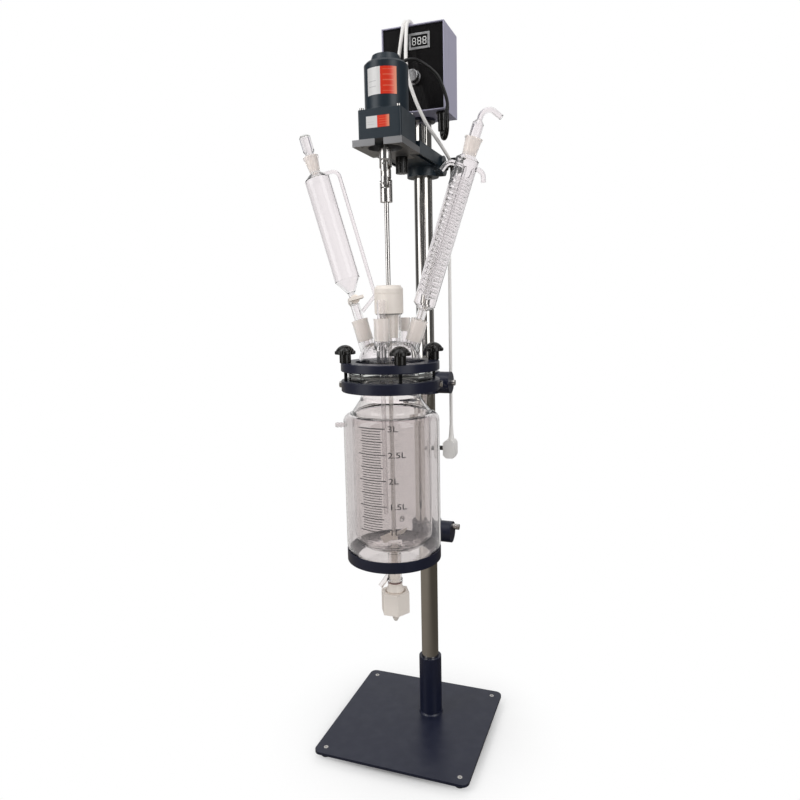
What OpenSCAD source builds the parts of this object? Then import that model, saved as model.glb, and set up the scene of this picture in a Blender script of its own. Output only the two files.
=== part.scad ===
// Bench reactor: a jacketed 3 litre glass vessel with a stirrer drive, a
// dropping funnel and a coil condenser, carried by one column on a base plate.
// Millimetres. Origin: centre of the base plate's underside. +Z up, -Y front.

/* [Base] */
// Width of the base plate
plate_w = 320; // [260:5:440]
// Depth of the base plate
plate_d = 320; // [260:5:440]
// Thickness of the base plate
plate_t = 6; // [4:1:12]
// Radius of the plate's corners
plate_corner_r = 14; // [4:1:20]
// Distance of each foot screw from the plate's edges
foot_inset = 20; // [16:1:30]
// Largest diameter of a rubber foot
foot_d = 22; // [18:1:28]
// Height of a rubber foot
foot_h = 11; // [8:1:18]
// Shank diameter of a foot screw
foot_screw_d = 6; // [5:1:8]

/* [Column] */
// Column axis, to the right of the plate's centre
column_x = 25; // [0:5:40]
// Column axis, behind the plate's centre
column_y = 46; // [20:1:80]
// Outer diameter of the column
column_d = 36; // [30:1:42]
// Wall of the column tube
column_wall = 2; // [1.5:0.5:4]
// Height of the column above the plate
column_h = 1233; // [1150:1:1500]
// Height of the welded socket at the column's foot
socket_h = 130; // [80:5:180]
// Wall of the socket
socket_wall = 6; // [4:1:9]
// Gap between the column and what slides on it
slide_gap = 0.1; // [0.05:0.05:0.3]

/* [Rings] */
// Column axis to vessel axis
reach = 204; // [185:1:240]
// Underside of the lower ring above the plate
low_ring_z = 431; // [380:1:460]
// Height of the lower ring
low_ring_h = 20; // [14:1:22]
// Underside of the flange ring above the plate
flange_ring_z = 738; // [700:1:790]
// Height of the flange ring
flange_ring_h = 19; // [16:1:24]
// Height of the lid ring
lid_ring_h = 15; // [13:1:20]
// Depth of the recess that holds a glass flange
ring_recess = 5; // [3:0.5:6]
// Outer diameter of both flange rings
ring_d = 173; // [170:1:190]
// Outer diameter of a column clamp
clamp_d = 56; // [52:1:66]
// Height of a column clamp
clamp_h = 44; // [34:1:50]
// Diameter of the studs that pull the lid down
stud_d = 6; // [5:1:8]
// Radius of the stud circle
stud_circle_r = 79; // [78:0.5:80]
// Turn of the stud circle about the vessel axis
stud_turn = 33; // [20:1:45]

/* [Vessel] */
// Outer diameter of the inner vessel
vessel_d = 140; // [120:1:144]
// Outer diameter of the heating jacket
jacket_d = 170; // [164:1:176]
// Wall of the blown glass
glass = 3; // [2.5:0.1:3.6]
// Outer diameter of the vessel's neck
neck_d = 106; // [96:1:108]
// Outer diameter of the ground flanges
flange_d = 148; // [146:1:150]
// Thickness of a ground flange
flange_t = 12; // [9:0.5:14]
// Thickness of the lid gasket
gasket_t = 2; // [1:0.5:3]
// Outer diameter of the drain neck
drain_neck_d = 25; // [22:0.5:27]
// Outer diameter of the hose nozzles
nozzle_d = 10; // [8:0.5:12]
// Bore of the hose nozzles
nozzle_bore = 6.4; // [5:0.2:7]

/* [Lid] */
// Height of the lid above its flange
dome_h = 44; // [38:1:52]
// Outer radius of the centre neck
centre_neck_r = 20; // [18:0.5:21]
// Top of the centre neck above the lid flange
centre_neck_h = 91; // [80:1:100]
// Lean of the left neck, which carries the funnel
left_lean = 16.5; // [10:0.5:18]
// Lean of the right neck, which carries the condenser
right_lean = 18.5; // [10:0.5:20]
// Radius at which the rims of both side necks stand
neck_rim_at = 56; // [53:0.5:58]
// Length of a side neck
side_neck_h = 50; // [46:1:58]
// Outer radius of a side neck
side_neck_r = 14.2; // [13.8:0.1:14.6]
// Wide end radius of the standard ground joint
joint_r = 12; // [11.5:0.1:12.2]
// Length of the standard ground joint
joint_l = 38; // [30:1:42]
// Gap between two ground joint faces
joint_gap = 0.1; // [0.05:0.05:0.2]

/* [Stirrer] */
// Diameter of the stirrer shaft
shaft_d = 8; // [6:0.5:9]
// Bottom of the stirrer blade above the plate
blade_z = 464; // [460:1:480]
// Span of the stirrer blade
blade_w = 64; // [40:2:90]
// Diameter of the seal body on the centre neck
seal_d = 50; // [46:1:54]
// Height of the seal body above its neck
seal_h = 48; // [42:1:60]
// Running gap of the shaft in its seal, on the radius
run_gap = 0.05; // [0.02:0.01:0.08]

/* [Drive] */
// Side of the square gearbox
gearbox_w = 76; // [72:1:84]
// Height of the gearbox
gearbox_h = 47; // [42:1:60]
// Underside of the gearbox above the plate
gearbox_z = 1157; // [1150:1:1200]
// Diameter of the motor can
can_d = 74; // [68:1:76]
// Height of the motor can
can_h = 74; // [66:1:100]
// Thickness of the aluminium motor plate
motor_plate_t = 11; // [8:1:14]
// Diameter of the gearbox output shaft
output_d = 12; // [10:1:12]

/* [Control box] */
// Width of the control box
box_w = 120; // [110:1:160]
// Depth of the control box
box_d = 88; // [80:1:110]
// Height of the control box
box_h = 152; // [140:1:200]
// Wall of the control box
box_wall = 2; // [1.5:0.5:3]
// Diameter of the mains cord
cord_d = 6.5; // [6:0.5:7]
// Diameter of the motor cable
cable_d = 6; // [5:0.5:6.5]

/* [Hidden] */
$fn = 64;
past = 0.5;

navy = "#23283a";
slate = "#2c3b48";
steel = "#b9bcc2";
black = "#17181c";
clear = "#cfd8dc";
ptfe = "#efe9df";

// Heights, all above the plate's top face.
jacket_z = low_ring_z + 5;
seat_z = flange_ring_z + flange_ring_h - ring_recess;
gasket_z = seat_z + flange_t;
lid_z = gasket_z + gasket_t;
lid_top_z = lid_z + flange_t;
lid_ring_z = lid_top_z - ring_recess;
knob_z = lid_ring_z + lid_ring_h;
centre_top_z = lid_top_z + centre_neck_h;
seal_ring_t = 2;
seal_z = centre_top_z + seal_ring_t;
plate_under_z = gearbox_z - motor_plate_t;
can_z = gearbox_z + gearbox_h;
box_flange_t = 5;
box_z = column_h + box_flange_t;

// Glass section.
neck_r = neck_d / 2;
vessel_r = vessel_d / 2;
jacket_r = jacket_d / 2;
flange_r = flange_d / 2;
neck_end_z = seat_z - 25;
shoulder_z = neck_end_z - 30;
shoulder_r = jacket_r - vessel_r - 1;
jacket_corner = 26;
vessel_bottom_z = jacket_z + 18;
vessel_corner = 31;
drain_r = drain_neck_d / 2;
drain_bore = drain_r - 2.3;
drain_end_z = jacket_z - 53;
dome_r = neck_r + 1;
dome_arc = 30;
dome_side_z = lid_top_z + dome_h - dome_arc;
ring_clear = 0.5;

function arc(cx, cz, r, a0, a1, n = 10) =
    [for (i = [0:n]) let (a = a0 + (a1 - a0) * i / n) [cx + r * cos(a), cz + r * sin(a)]];
function catmull(p0, p1, p2, p3, t) = 0.5 * (2 * p1 + (p2 - p0) * t
    + (2 * p0 - 5 * p1 + 4 * p2 - p3) * t * t + (3 * p1 - p0 - 3 * p2 + p3) * t * t * t);
function smooth(p, n) = let (l = len(p) - 1)
    [for (i = [0:l - 1], k = [0:n - 1])
        catmull(p[max(i - 1, 0)], p[i], p[i + 1], p[min(i + 2, l)], k / n), p[l]];
function level(r, a, z) = [r * cos(a), r * sin(a), z];
function unit(v) = v / norm(v);
function tangent(p, i) = unit(p[min(i + 1, len(p) - 1)] - p[max(i - 1, 0)]);
// A side direction that is carried from ring to ring, so that the tube does not twist.
function carry(v, t) = unit(v - (v * t) * t);
function sides(p, i, v) = i == len(p) ? [] :
    let (s = carry(v, tangent(p, i))) concat([s], sides(p, i + 1, s));

module sweep(p, d, n, start) {
    s = sides(p, 0, start);
    rings = [for (i = [0:len(p) - 1]) let (u = s[i], w = cross(tangent(p, i), u))
        each [for (k = [0:n - 1]) p[i] + d / 2 * (cos(360 * k / n) * u + sin(360 * k / n) * w)]];
    walls = [for (i = [0:len(p) - 2], k = [0:n - 1])
        [(i + 1) * n + k, (i + 1) * n + (k + 1) % n, i * n + (k + 1) % n, i * n + k]];
    ends = [[for (k = [0:n - 1]) k], [for (k = [n - 1:-1:0]) (len(p) - 1) * n + k]];
    polyhedron(rings, concat(ends, walls));
}

module on_plate(x = 0, y = 0, z = 0) translate([x, y, plate_t + z]) children();
module at_column(z = 0) on_plate(column_x, column_y, z) children();
module at_vessel(z = 0) on_plate(column_x, column_y - reach, z) children();
module feet_places() for (x = [-1, 1], y = [-1, 1])
    translate([x * (plate_w / 2 - foot_inset), y * (plate_d / 2 - foot_inset), 0]) children();
module stud_places() for (i = [0:3]) rotate(stud_turn + 90 * i) translate([stud_circle_r, 0, 0]) children();
// Frame of a side neck: its foot on the dome, +Z along the neck.
module left_neck() at_vessel(lid_top_z + 34)
    translate([side_neck_h * sin(left_lean) - neck_rim_at, 0, 0]) rotate([0, -left_lean, 0]) children();
module right_neck() at_vessel(lid_top_z + 34)
    translate([neck_rim_at - side_neck_h * sin(right_lean), 0, 0]) rotate([0, right_lean, 0]) children();
front_neck_at = 36;
front_neck_r = 13.4;
front_neck_top = lid_top_z + 85;
small_neck_at = 37;
small_neck_turn = 60;
small_neck_r = 8.5;
module tube(r, bore, h) difference() {
    cylinder(r = r, h = h);
    translate([0, 0, -past]) cylinder(r = bore, h = h + 2 * past);
}
// Hose barb along +Z from the wall it is blown onto.
module barb(r, h) {
    cylinder(r = r * 0.8, h = h);
    for (i = [0:1]) translate([0, 0, h - 5 - 6 * i]) cylinder(r1 = r, r2 = r * 0.75, h = 5);
}
module hex_head(af, h) cylinder(r = af / sqrt(3), h = h, $fn = 6);

/* Base */
screw_head_d = 1.6 * foot_screw_d;
module base_plate() color(navy) difference() {
    linear_extrude(plate_t) difference() {
        square([plate_w, plate_d], center = true);
        for (x = [-1, 1], y = [-1, 1]) translate([x * plate_w / 2, y * plate_d / 2])
            difference() {
                square(2 * plate_corner_r, center = true);
                translate([-x * plate_corner_r, -y * plate_corner_r]) circle(plate_corner_r);
            }
    }
    feet_places() {
        translate([0, 0, -past]) cylinder(d = foot_screw_d + 0.4, h = plate_t + 2 * past);
        translate([0, 0, plate_t - foot_screw_d / 2 - 0.2])
            cylinder(d1 = foot_screw_d + 0.2, d2 = screw_head_d + 0.9, h = foot_screw_d / 2 + 0.7);
    }
}
module rubber_feet() color(black) feet_places() translate([0, 0, -foot_h]) difference() {
    rotate_extrude() polygon(concat([[0, 0], [foot_d / 2 - 2, 0], [foot_d / 2, 2]],
        [[foot_d / 2 - 2.5, foot_h * 0.55], [foot_d / 2 - 2, foot_h], [0, foot_h]]));
    translate([0, 0, 3]) cylinder(d = foot_screw_d + 0.2, h = foot_h);
    translate([0, 0, -past]) cylinder(d = foot_screw_d * 1.2, h = 2 + past);
}
module foot_screws() color(steel) feet_places() difference() {
    union() {
        translate([0, 0, plate_t - foot_screw_d / 2]) cylinder(d1 = foot_screw_d, d2 = screw_head_d,
            h = foot_screw_d / 2);
        translate([0, 0, 4 - foot_h]) cylinder(d = foot_screw_d, h = plate_t + foot_h - 4 - 1);
    }
    translate([0, 0, plate_t - 2]) hex_head(foot_screw_d * 0.62, 2 + past);
}

/* Column */
module column_socket() color(navy) at_column() difference() {
    union() {
        cylinder(d = column_d + 2 * socket_wall, h = socket_h);
        cylinder(d1 = column_d + 2 * socket_wall + 6, d2 = column_d + 2 * socket_wall, h = 3);
    }
    translate([0, 0, -past]) cylinder(d = column_d + 2 * slide_gap, h = socket_h + 2 * past);
}
module column() color(steel) at_column() tube(column_d / 2, column_d / 2 - column_wall, column_h);

/* Column clamps of the two rings */
ring_r = ring_d / 2;
arm_bolt_r = 3;
arm_bolt_at = ring_r - 7.5;
boss_d = clamp_h;
boss_end = 53;
clamp_screw_d = 8;
arm_w = 22;
arm_h = 16;
arm_l = reach - ring_r + 14;
// The clamp stands higher than its arm by rise, and its screw sits above its middle by up.
module bosshead(rise, up) difference() {
    union() {
        cylinder(d = clamp_d, h = clamp_h);
        translate([0, 0, clamp_h / 2]) rotate([0, 90, 0]) cylinder(d = boss_d, h = boss_end);
        translate([-arm_w / 2, -arm_l, clamp_h - arm_h - rise]) cube([arm_w, arm_l, arm_h]);
    }
    translate([0, 0, -past]) cylinder(d = column_d + 2 * slide_gap, h = clamp_h + 2 * past);
    translate([column_d / 2 - past, 0, clamp_h / 2 + up]) rotate([0, 90, 0])
        cylinder(d = clamp_screw_d + 0.2, h = boss_end);
    translate([0, arm_bolt_at - reach, clamp_h - arm_h - rise - past])
        cylinder(r = arm_bolt_r, h = arm_h + 2 * past);
    for (y = [-1, 1]) translate([boss_end - 6, y * boss_d * 0.3, clamp_h / 2]) rotate([0, 90, 0])
        cylinder(d = 4, h = 7);
}
module clamp_screw(out) {
    rotate([0, 90, 0]) translate([0, 0, column_d / 2 + slide_gap])
        cylinder(d = clamp_screw_d, h = boss_end - column_d / 2 + out);
    rotate([0, 90, 0]) translate([0, 0, boss_end + 0.3]) difference() {
        cylinder(d = clamp_screw_d + 4, h = out);
        translate([0, 0, out - 3]) hex_head(6, 3 + past);
    }
}
low_rise = 4;
low_screw_up = 12;
low_clamp_z = low_ring_z - clamp_h + low_rise;
module lower_bosshead() color(navy) at_column(low_clamp_z) bosshead(low_rise, low_screw_up);
module lower_clamp_screw() color(steel) at_column(low_clamp_z + clamp_h / 2 + low_screw_up)
    clamp_screw(14);
flange_rise = 11;
flange_clamp_z = flange_ring_z - clamp_h + flange_rise;
module upper_bosshead() color(navy) at_column(flange_clamp_z) bosshead(flange_rise, 0);
module upper_clamp_screw() color(steel) at_column(flange_clamp_z + clamp_h / 2) clamp_screw(8);

/* Rings round the glass */
jacket_arc_r = jacket_r - jacket_corner;
seat_cone = (jacket_arc_r + (jacket_corner + 0.2) * sqrt(2)) - jacket_corner - (jacket_z - low_ring_z);
low_ring_hole = jacket_arc_r + 8;
// The jacket's rounded foot rests on a 45 degree cone inside the lower ring.
module lower_ring() color(navy) at_vessel(low_ring_z) difference() {
    cylinder(r = jacket_r, h = low_ring_h);
    translate([0, 0, -past]) cylinder(r = low_ring_hole, h = low_ring_h + 2 * past);
    intersection() {
        translate([0, 0, low_ring_hole - seat_cone]) cylinder(r1 = low_ring_hole,
            r2 = low_ring_hole + low_ring_h, h = low_ring_h);
        cylinder(r = jacket_r - 1.6, h = low_ring_h + past);
    }
    translate([0, arm_bolt_at, -past]) cylinder(r = arm_bolt_r, h = 8);
}
module flange_ring() color(navy) at_vessel(flange_ring_z) difference() {
    rotate_extrude($fn = 128) polygon([[neck_r + 5, 0], [ring_r - 1, 0], [ring_r, 1],
        [ring_r, flange_ring_h - 1], [ring_r - 1, flange_ring_h],
        [flange_r + ring_clear, flange_ring_h], [flange_r + ring_clear, flange_ring_h - ring_recess],
        [neck_r + 5, flange_ring_h - ring_recess]]);
    stud_places() translate([0, 0, -past]) cylinder(d = stud_d, h = flange_ring_h + 2 * past);
    translate([0, arm_bolt_at, -past]) cylinder(r = arm_bolt_r, h = 10);
    for (a = [ear_turn, ear_turn + 180]) rotate(a) translate([ring_r - 6, 0, flange_ring_h / 2])
        rotate([0, 90, 0]) cylinder(r = arm_bolt_r, h = 8);
}
ear_turn = 12;
// Two screws centre the glass in the flange ring, one bolt holds each ring on its arm,
// and four long bolts hold the gearbox on its plate.
module fixing_screws() color(steel) {
    at_vessel(flange_ring_z) {
        for (a = [ear_turn, ear_turn + 180]) rotate(a) translate([ring_r - 6, 0, flange_ring_h / 2])
            rotate([0, 90, 0]) {
                cylinder(r = arm_bolt_r - 0.1, h = 6.3);
                translate([0, 0, 6.3]) hex_head(10, 5);
            }
        translate([0, arm_bolt_at, -arm_h]) cylinder(r = arm_bolt_r - 0.1, h = arm_h + 9);
        translate([0, arm_bolt_at, -arm_h - 5.5]) hex_head(10, 5.5);
    }
    at_vessel(low_ring_z) {
        translate([0, arm_bolt_at, -arm_h]) cylinder(r = arm_bolt_r - 0.1, h = arm_h + 7);
        translate([0, arm_bolt_at, -arm_h - 5.5]) hex_head(10, 5.5);
    }
    at_vessel(plate_under_z + 1) translate([0, gear_offset, 0]) corner_bolts() {
        cylinder(r = bolt_r, h = gearbox_h + motor_plate_t - 1);
        translate([0, 0, gearbox_h + motor_plate_t - 1]) cylinder(r = 3.5, h = 4);
    }
}
module lid_ring() color(navy) at_vessel(lid_ring_z) difference() {
    rotate_extrude($fn = 128) polygon([[neck_r + 8, ring_recess], [flange_r + ring_clear, ring_recess],
        [flange_r + ring_clear, 0], [ring_r - 1, 0], [ring_r, 1], [ring_r, lid_ring_h - 1],
        [ring_r - 1, lid_ring_h], [neck_r + 8, lid_ring_h]]);
    stud_places() translate([0, 0, -past]) cylinder(d = stud_d + 0.6, h = lid_ring_h + 2 * past);
}
stud_top_z = knob_z + 14;
module lid_studs() color(black) at_vessel(flange_ring_z + 2) stud_places()
    cylinder(d = stud_d, h = stud_top_z - flange_ring_z - 2);
knob_d = 36;
knob_h = 31;
knob_stem_d = 20;
knob_lobes = 8;
// Star knob: domed cap with flutes, over a round stem with a blind hole.
module lid_knob(i) color(black) at_vessel(knob_z + 0.1) rotate(stud_turn + 90 * i)
    translate([stud_circle_r, 0, 0]) difference() {
        union() {
            cylinder(d = knob_stem_d, h = 16);
            rotate_extrude() polygon(concat([[0, 15], [knob_d / 2 - 1, 15], [knob_d / 2, 16]],
                [[knob_d / 2, 20]], arc(0, 13, knob_d / 2, 28, 78, 6), [[0, knob_h]]));
        }
        for (k = [0:knob_lobes - 1]) rotate(360 / knob_lobes * (k + 0.5))
            translate([knob_d / 2 + 1.5, 0, 14]) cylinder(d = 8, h = knob_h);
        translate([0, 0, -past]) cylinder(d = stud_d + 2 * run_gap, h = 15);
    }
module lid_knob_1() lid_knob(0);
module lid_knob_2() lid_knob(1);
module lid_knob_3() lid_knob(2);
module lid_knob_4() lid_knob(3);

/* Jacketed vessel, blown in one piece */
outlet_turn = 215;
outlet_lean = 141;
outlet_z = jacket_z - 26;
outlet_l = 44;
top_nozzle_turn = 195;
low_nozzle_turn = 100;
nozzle_out = 20;
top_nozzle_z = shoulder_z - 22;
low_nozzle_z = vessel_bottom_z + 18;
inner_r = vessel_r - glass;
module vessel_outline() polygon(concat(
    [[0, gasket_z], [flange_r, gasket_z], [flange_r, seat_z], [neck_r + 3, seat_z], [neck_r, seat_z - 4]],
    [[neck_r, neck_end_z], [neck_r + 2, neck_end_z - 6], [vessel_r - 2, shoulder_z + 5]],
    arc(vessel_r + 1, shoulder_z - shoulder_r + 1, shoulder_r, 85, 0, 8),
    arc(jacket_arc_r, jacket_z + jacket_corner, jacket_corner, 0, -90, 12),
    [[drain_r, jacket_z], [drain_r, drain_end_z + 6], [drain_r + 1.5, drain_end_z + 4.5],
    [drain_r + 1.5, drain_end_z], [0, drain_end_z]]));
module vessel_inside() polygon(concat(
    [[0, gasket_z + past], [neck_r - glass, gasket_z + past], [neck_r - glass, neck_end_z - 1]],
    [[inner_r - 2, shoulder_z + 4], [inner_r, shoulder_z - 2]],
    arc(vessel_r - vessel_corner, vessel_bottom_z + vessel_corner, vessel_corner - glass, 0, -90, 12),
    [[drain_bore + 2, vessel_bottom_z - 2.5], [drain_bore, vessel_bottom_z - 5],
    [drain_bore, drain_end_z - past], [0, drain_end_z - past]]));
module jacket_space() polygon(concat(
    [[vessel_r, shoulder_z - 4]],
    arc(vessel_r + 1, shoulder_z - shoulder_r + 1, shoulder_r - glass, 80, 0, 8),
    arc(jacket_arc_r, jacket_z + jacket_corner, jacket_corner - glass, 0, -90, 12),
    [[drain_r, jacket_z + glass], [drain_r, vessel_bottom_z - 7]],
    arc(vessel_r - vessel_corner, vessel_bottom_z + vessel_corner, vessel_corner, -90, 0, 12)));
module jacket_nozzle(turn, z) rotate(turn) translate([jacket_r - glass - 1, 0, z])
    rotate([0, 90, 0]) children();
module nozzle_hole() translate([0, 0, -1]) cylinder(d = nozzle_bore, h = nozzle_out + 2);
module outlet() translate([0, 0, outlet_z]) rotate(outlet_turn) rotate([0, outlet_lean, 0]) children();
module jacketed_vessel() color(clear, 0.4) at_vessel() difference() {
    union() {
        rotate_extrude($fn = 128) vessel_outline();
        jacket_nozzle(top_nozzle_turn, top_nozzle_z) barb(nozzle_d / 2, nozzle_out);
        jacket_nozzle(low_nozzle_turn, low_nozzle_z) barb(nozzle_d / 2, nozzle_out);
        outlet() translate([0, 0, drain_r - 2]) cylinder(r = nozzle_d / 2, h = outlet_l - drain_r + 2);
    }
    rotate_extrude($fn = 128) vessel_inside();
    rotate_extrude($fn = 128) jacket_space();
    jacket_nozzle(top_nozzle_turn, top_nozzle_z) nozzle_hole();
    jacket_nozzle(low_nozzle_turn, low_nozzle_z) nozzle_hole();
    outlet() translate([0, 0, 2]) cylinder(d = nozzle_bore, h = outlet_l);
}
module flat_gaskets() color(black) {
    at_vessel(drain_collar_z) tube(drain_r + 0.8, drain_bore - 0.1, drain_end_z - drain_collar_z);
    at_vessel(gasket_z) tube(flange_r - 2, neck_r - 1, gasket_t);
    at_vessel(centre_top_z) tube(centre_neck_r + 3, centre_neck_r - 3, seal_ring_t);
}

/* Lid, blown in one piece with its five necks */
front_bore = joint_r - 0.9;
module neck_wall(r, h, below) {
    translate([0, 0, -below]) cylinder(r = r, h = h + below);
    translate([0, 0, h - 3]) cylinder(r = r + 0.8, h = 3);
}
module neck_bore(wide, long, h, below) {
    translate([0, 0, h - long]) cylinder(r1 = wide - long / 20, r2 = wide, h = long);
    translate([0, 0, h - past]) cylinder(r = wide, h = 2 * past);
    translate([0, 0, -below - past]) cylinder(r = wide - long / 20, h = h + below - long + past + 0.1);
}
centre_bore = centre_neck_r - 3;
centre_joint_l = 40;
small_joint_l = 24;
module vessel_lid() color(clear, 0.4) difference() {
    union() {
        at_vessel() rotate_extrude($fn = 128) polygon(concat([[0, lid_z], [flange_r, lid_z],
            [flange_r, lid_top_z], [dome_r + 3, lid_top_z], [dome_r, lid_top_z + 3]],
            arc(dome_r - dome_arc, dome_side_z, dome_arc, 0, 90, 12), [[0, lid_top_z + dome_h]]));
        at_vessel(centre_top_z) neck_wall(centre_neck_r, 0, centre_neck_h - dome_h + 8);
        left_neck() neck_wall(side_neck_r, side_neck_h, 14);
        right_neck() neck_wall(side_neck_r, side_neck_h, 14);
        at_vessel(front_neck_top) translate([0, -front_neck_at, 0]) neck_wall(front_neck_r, 0, 66);
        at_vessel(front_neck_top) rotate(small_neck_turn) translate([small_neck_at, 0, 0])
            neck_wall(small_neck_r, 0, 66);
    }
    at_vessel() rotate_extrude($fn = 128) polygon(concat(
        [[0, lid_z - past], [dome_r - glass, lid_z - past]],
        arc(dome_r - dome_arc, dome_side_z, dome_arc - glass, 0, 90, 12),
        [[0, lid_top_z + dome_h - glass]]));
    at_vessel(centre_top_z) neck_bore(centre_bore, centre_joint_l, 0, centre_neck_h - dome_h + 6);
    left_neck() neck_bore(joint_r, joint_l, side_neck_h, 10);
    right_neck() neck_bore(joint_r, joint_l, side_neck_h, 10);
    at_vessel(front_neck_top) translate([0, -front_neck_at, 0]) neck_bore(front_bore, joint_l, 0, 60);
    at_vessel(front_neck_top) rotate(small_neck_turn) translate([small_neck_at, 0, 0])
        neck_bore(small_neck_r - 1.6, small_joint_l, 0, 60);
}

/* Stirrer seal, shaft and blade */
seal_cap_h = 14;
plug_top = centre_bore - joint_gap;
module seal_body() color(ptfe) at_vessel(seal_z) difference() {
    union() {
        cylinder(d = seal_d, h = seal_h - seal_cap_h);
        cylinder(d = seal_d - 8, h = seal_h - 4);
        translate([0, 0, -seal_ring_t]) cylinder(r = plug_top - 0.6, h = seal_ring_t + 1);
        translate([0, 0, -seal_ring_t - centre_joint_l]) cylinder(r1 = plug_top - centre_joint_l / 20,
            r2 = plug_top, h = centre_joint_l);
    }
    translate([0, 0, -centre_joint_l - 5])
        cylinder(r = shaft_d / 2 + run_gap, h = seal_h + centre_joint_l + 10);
}
module seal_cap() color(ptfe) at_vessel(seal_z + seal_h - seal_cap_h) difference() {
    union() {
        cylinder(d = seal_d, h = seal_cap_h - 6);
        translate([0, 0, seal_cap_h - 6]) cylinder(d1 = seal_d, d2 = seal_d - 9, h = 6);
    }
    translate([0, 0, -past]) cylinder(d = seal_d - 8 + 0.2, h = seal_cap_h - 4 + past + 0.1);
    cylinder(r = shaft_d / 2 + 0.5, h = seal_cap_h + past);
}
joint_r_out = 10.5;
lower_pivot_z = blade_z + 624;
pivot_gap = 32;
upper_pivot_z = lower_pivot_z + pivot_gap;
hub_h = 20;
shaft_end_z = lower_pivot_z - 12;
blade_hub_h = 14;
blade_lift = 0.5;
module stirrer_shaft() color(steel) at_vessel(blade_z + blade_lift)
    cylinder(d = shaft_d, h = shaft_end_z - blade_z - blade_lift);
blade_turn = 70;
module stirrer_blade() color(ptfe) at_vessel(blade_z) rotate(blade_turn) difference() {
    union() {
        cylinder(d = shaft_d + 6, h = blade_hub_h);
        for (s = [0, 180]) rotate(s) translate([shaft_d / 2 + 1, 0, blade_hub_h / 2]) rotate([40, 0, 0])
            translate([0, -1.5, -blade_hub_h / 2]) cube([(blade_w - shaft_d) / 2 - 1, 3, blade_hub_h]);
    }
    translate([0, 0, blade_lift]) cylinder(d = shaft_d + 0.05, h = blade_hub_h * 2);
    translate([-blade_w, -blade_w, -2 * blade_hub_h]) cube([2 * blade_w, 2 * blade_w, 2 * blade_hub_h]);
}

/* Double universal joint */
ear_t = 4;
ear_w = 12;
pin_d = 5;
// Yoke with its pivot at the origin and its hub below.
module yoke(bore, hub_low) difference() {
    union() {
        translate([0, 0, -hub_low]) cylinder(r = joint_r_out, h = hub_low - 8);
        intersection() {
            for (s = [0, 180]) rotate(s) {
                translate([joint_r_out - ear_t, -ear_w / 2, -9]) cube([ear_t, ear_w, 9]);
                translate([joint_r_out - ear_t, 0, 0]) rotate([0, 90, 0]) cylinder(d = ear_w, h = ear_t);
            }
            cylinder(r = joint_r_out, h = 40, center = true);
        }
    }
    translate([0, 0, -hub_low - past]) cylinder(r = bore / 2 + 0.05, h = hub_low - 10);
    rotate([0, 90, 0]) cylinder(d = pin_d + 0.1, h = 40, center = true);
}
module lower_yoke() color(steel) at_vessel(lower_pivot_z) yoke(shaft_d, 10 + hub_h);
module upper_yoke() color(steel) at_vessel(upper_pivot_z) mirror([0, 0, 1]) yoke(output_d, 25);
module middle_yoke() color(steel) at_vessel((lower_pivot_z + upper_pivot_z) / 2) difference() {
    union() {
        cylinder(r = joint_r_out - 1.5, h = pivot_gap - 20, center = true);
        for (m = [0, 1]) mirror([0, 0, m]) rotate(90) intersection() {
            for (s = [0, 180]) rotate(s) {
                translate([joint_r_out - ear_t, -ear_w / 2, 4]) cube([ear_t, ear_w, pivot_gap / 2 - 4]);
                translate([joint_r_out - ear_t, 0, pivot_gap / 2]) rotate([0, 90, 0])
                    cylinder(d = ear_w, h = ear_t);
            }
            cylinder(r = joint_r_out, h = 80, center = true);
        }
    }
    for (m = [0, 1]) mirror([0, 0, m]) translate([0, 0, pivot_gap / 2]) rotate([90, 0, 0])
        cylinder(d = pin_d + 0.1, h = 40, center = true);
}
module joint_crosses() color(steel) for (z = [lower_pivot_z, upper_pivot_z]) at_vessel(z) {
    cube([9, 9, 9], center = true);
    for (a = [0, 90]) rotate(a) rotate([0, 90, 0])
        cylinder(d = pin_d, h = 2 * joint_r_out - 1, center = true);
}

/* Glassware on the lid */
front_joint_r = front_bore - joint_gap;
well_r = 4;
well_l = front_neck_top - blade_z - 61;
well_head_h = 31;
module at_front_neck() at_vessel(front_neck_top) translate([0, -front_neck_at, 0]) children();
module thermowell() color(clear, 0.5) at_front_neck() difference() {
    union() {
        cylinder(r = 7.3, h = well_head_h);
        translate([0, 0, -joint_l])
            cylinder(r1 = front_joint_r - joint_l / 20, r2 = front_joint_r, h = joint_l);
        translate([0, 0, -well_l]) cylinder(r = well_r, h = well_l);
        translate([0, 0, -well_l]) sphere(r = well_r);
    }
    translate([0, 0, 3 - joint_l]) cylinder(r = 6, h = joint_l + well_head_h);
    translate([0, 0, -well_l]) cylinder(r = well_r - 1, h = well_l);
}

// A bent tube that starts along +Z and turns towards +X. It is a touch fatter than
// the straight tubes, which run a short way into it.
bend_swell = 0.05;
lap = 0.4;
module bend(r, turn, a) translate([turn, 0, 0]) rotate([90, 0, 0]) rotate(180 - a)
    rotate_extrude(angle = a) translate([turn, 0]) circle(r + bend_swell);
module after_bend(turn, a) translate([turn, 0, 0]) rotate([0, a, 0]) translate([-turn, 0, 0]) children();
male_r = joint_r - joint_gap;
// Above the neck: heights along the leaning axis are counted from the neck's rim.
module above_neck(u) translate([0, 0, side_neck_h + u]) children();
module male_joint() {
    above_neck(-joint_l) cylinder(r1 = male_r - joint_l / 20, r2 = male_r, h = joint_l);
    above_neck(-joint_l - 14) cylinder(r = 6, h = 15);
}
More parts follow.
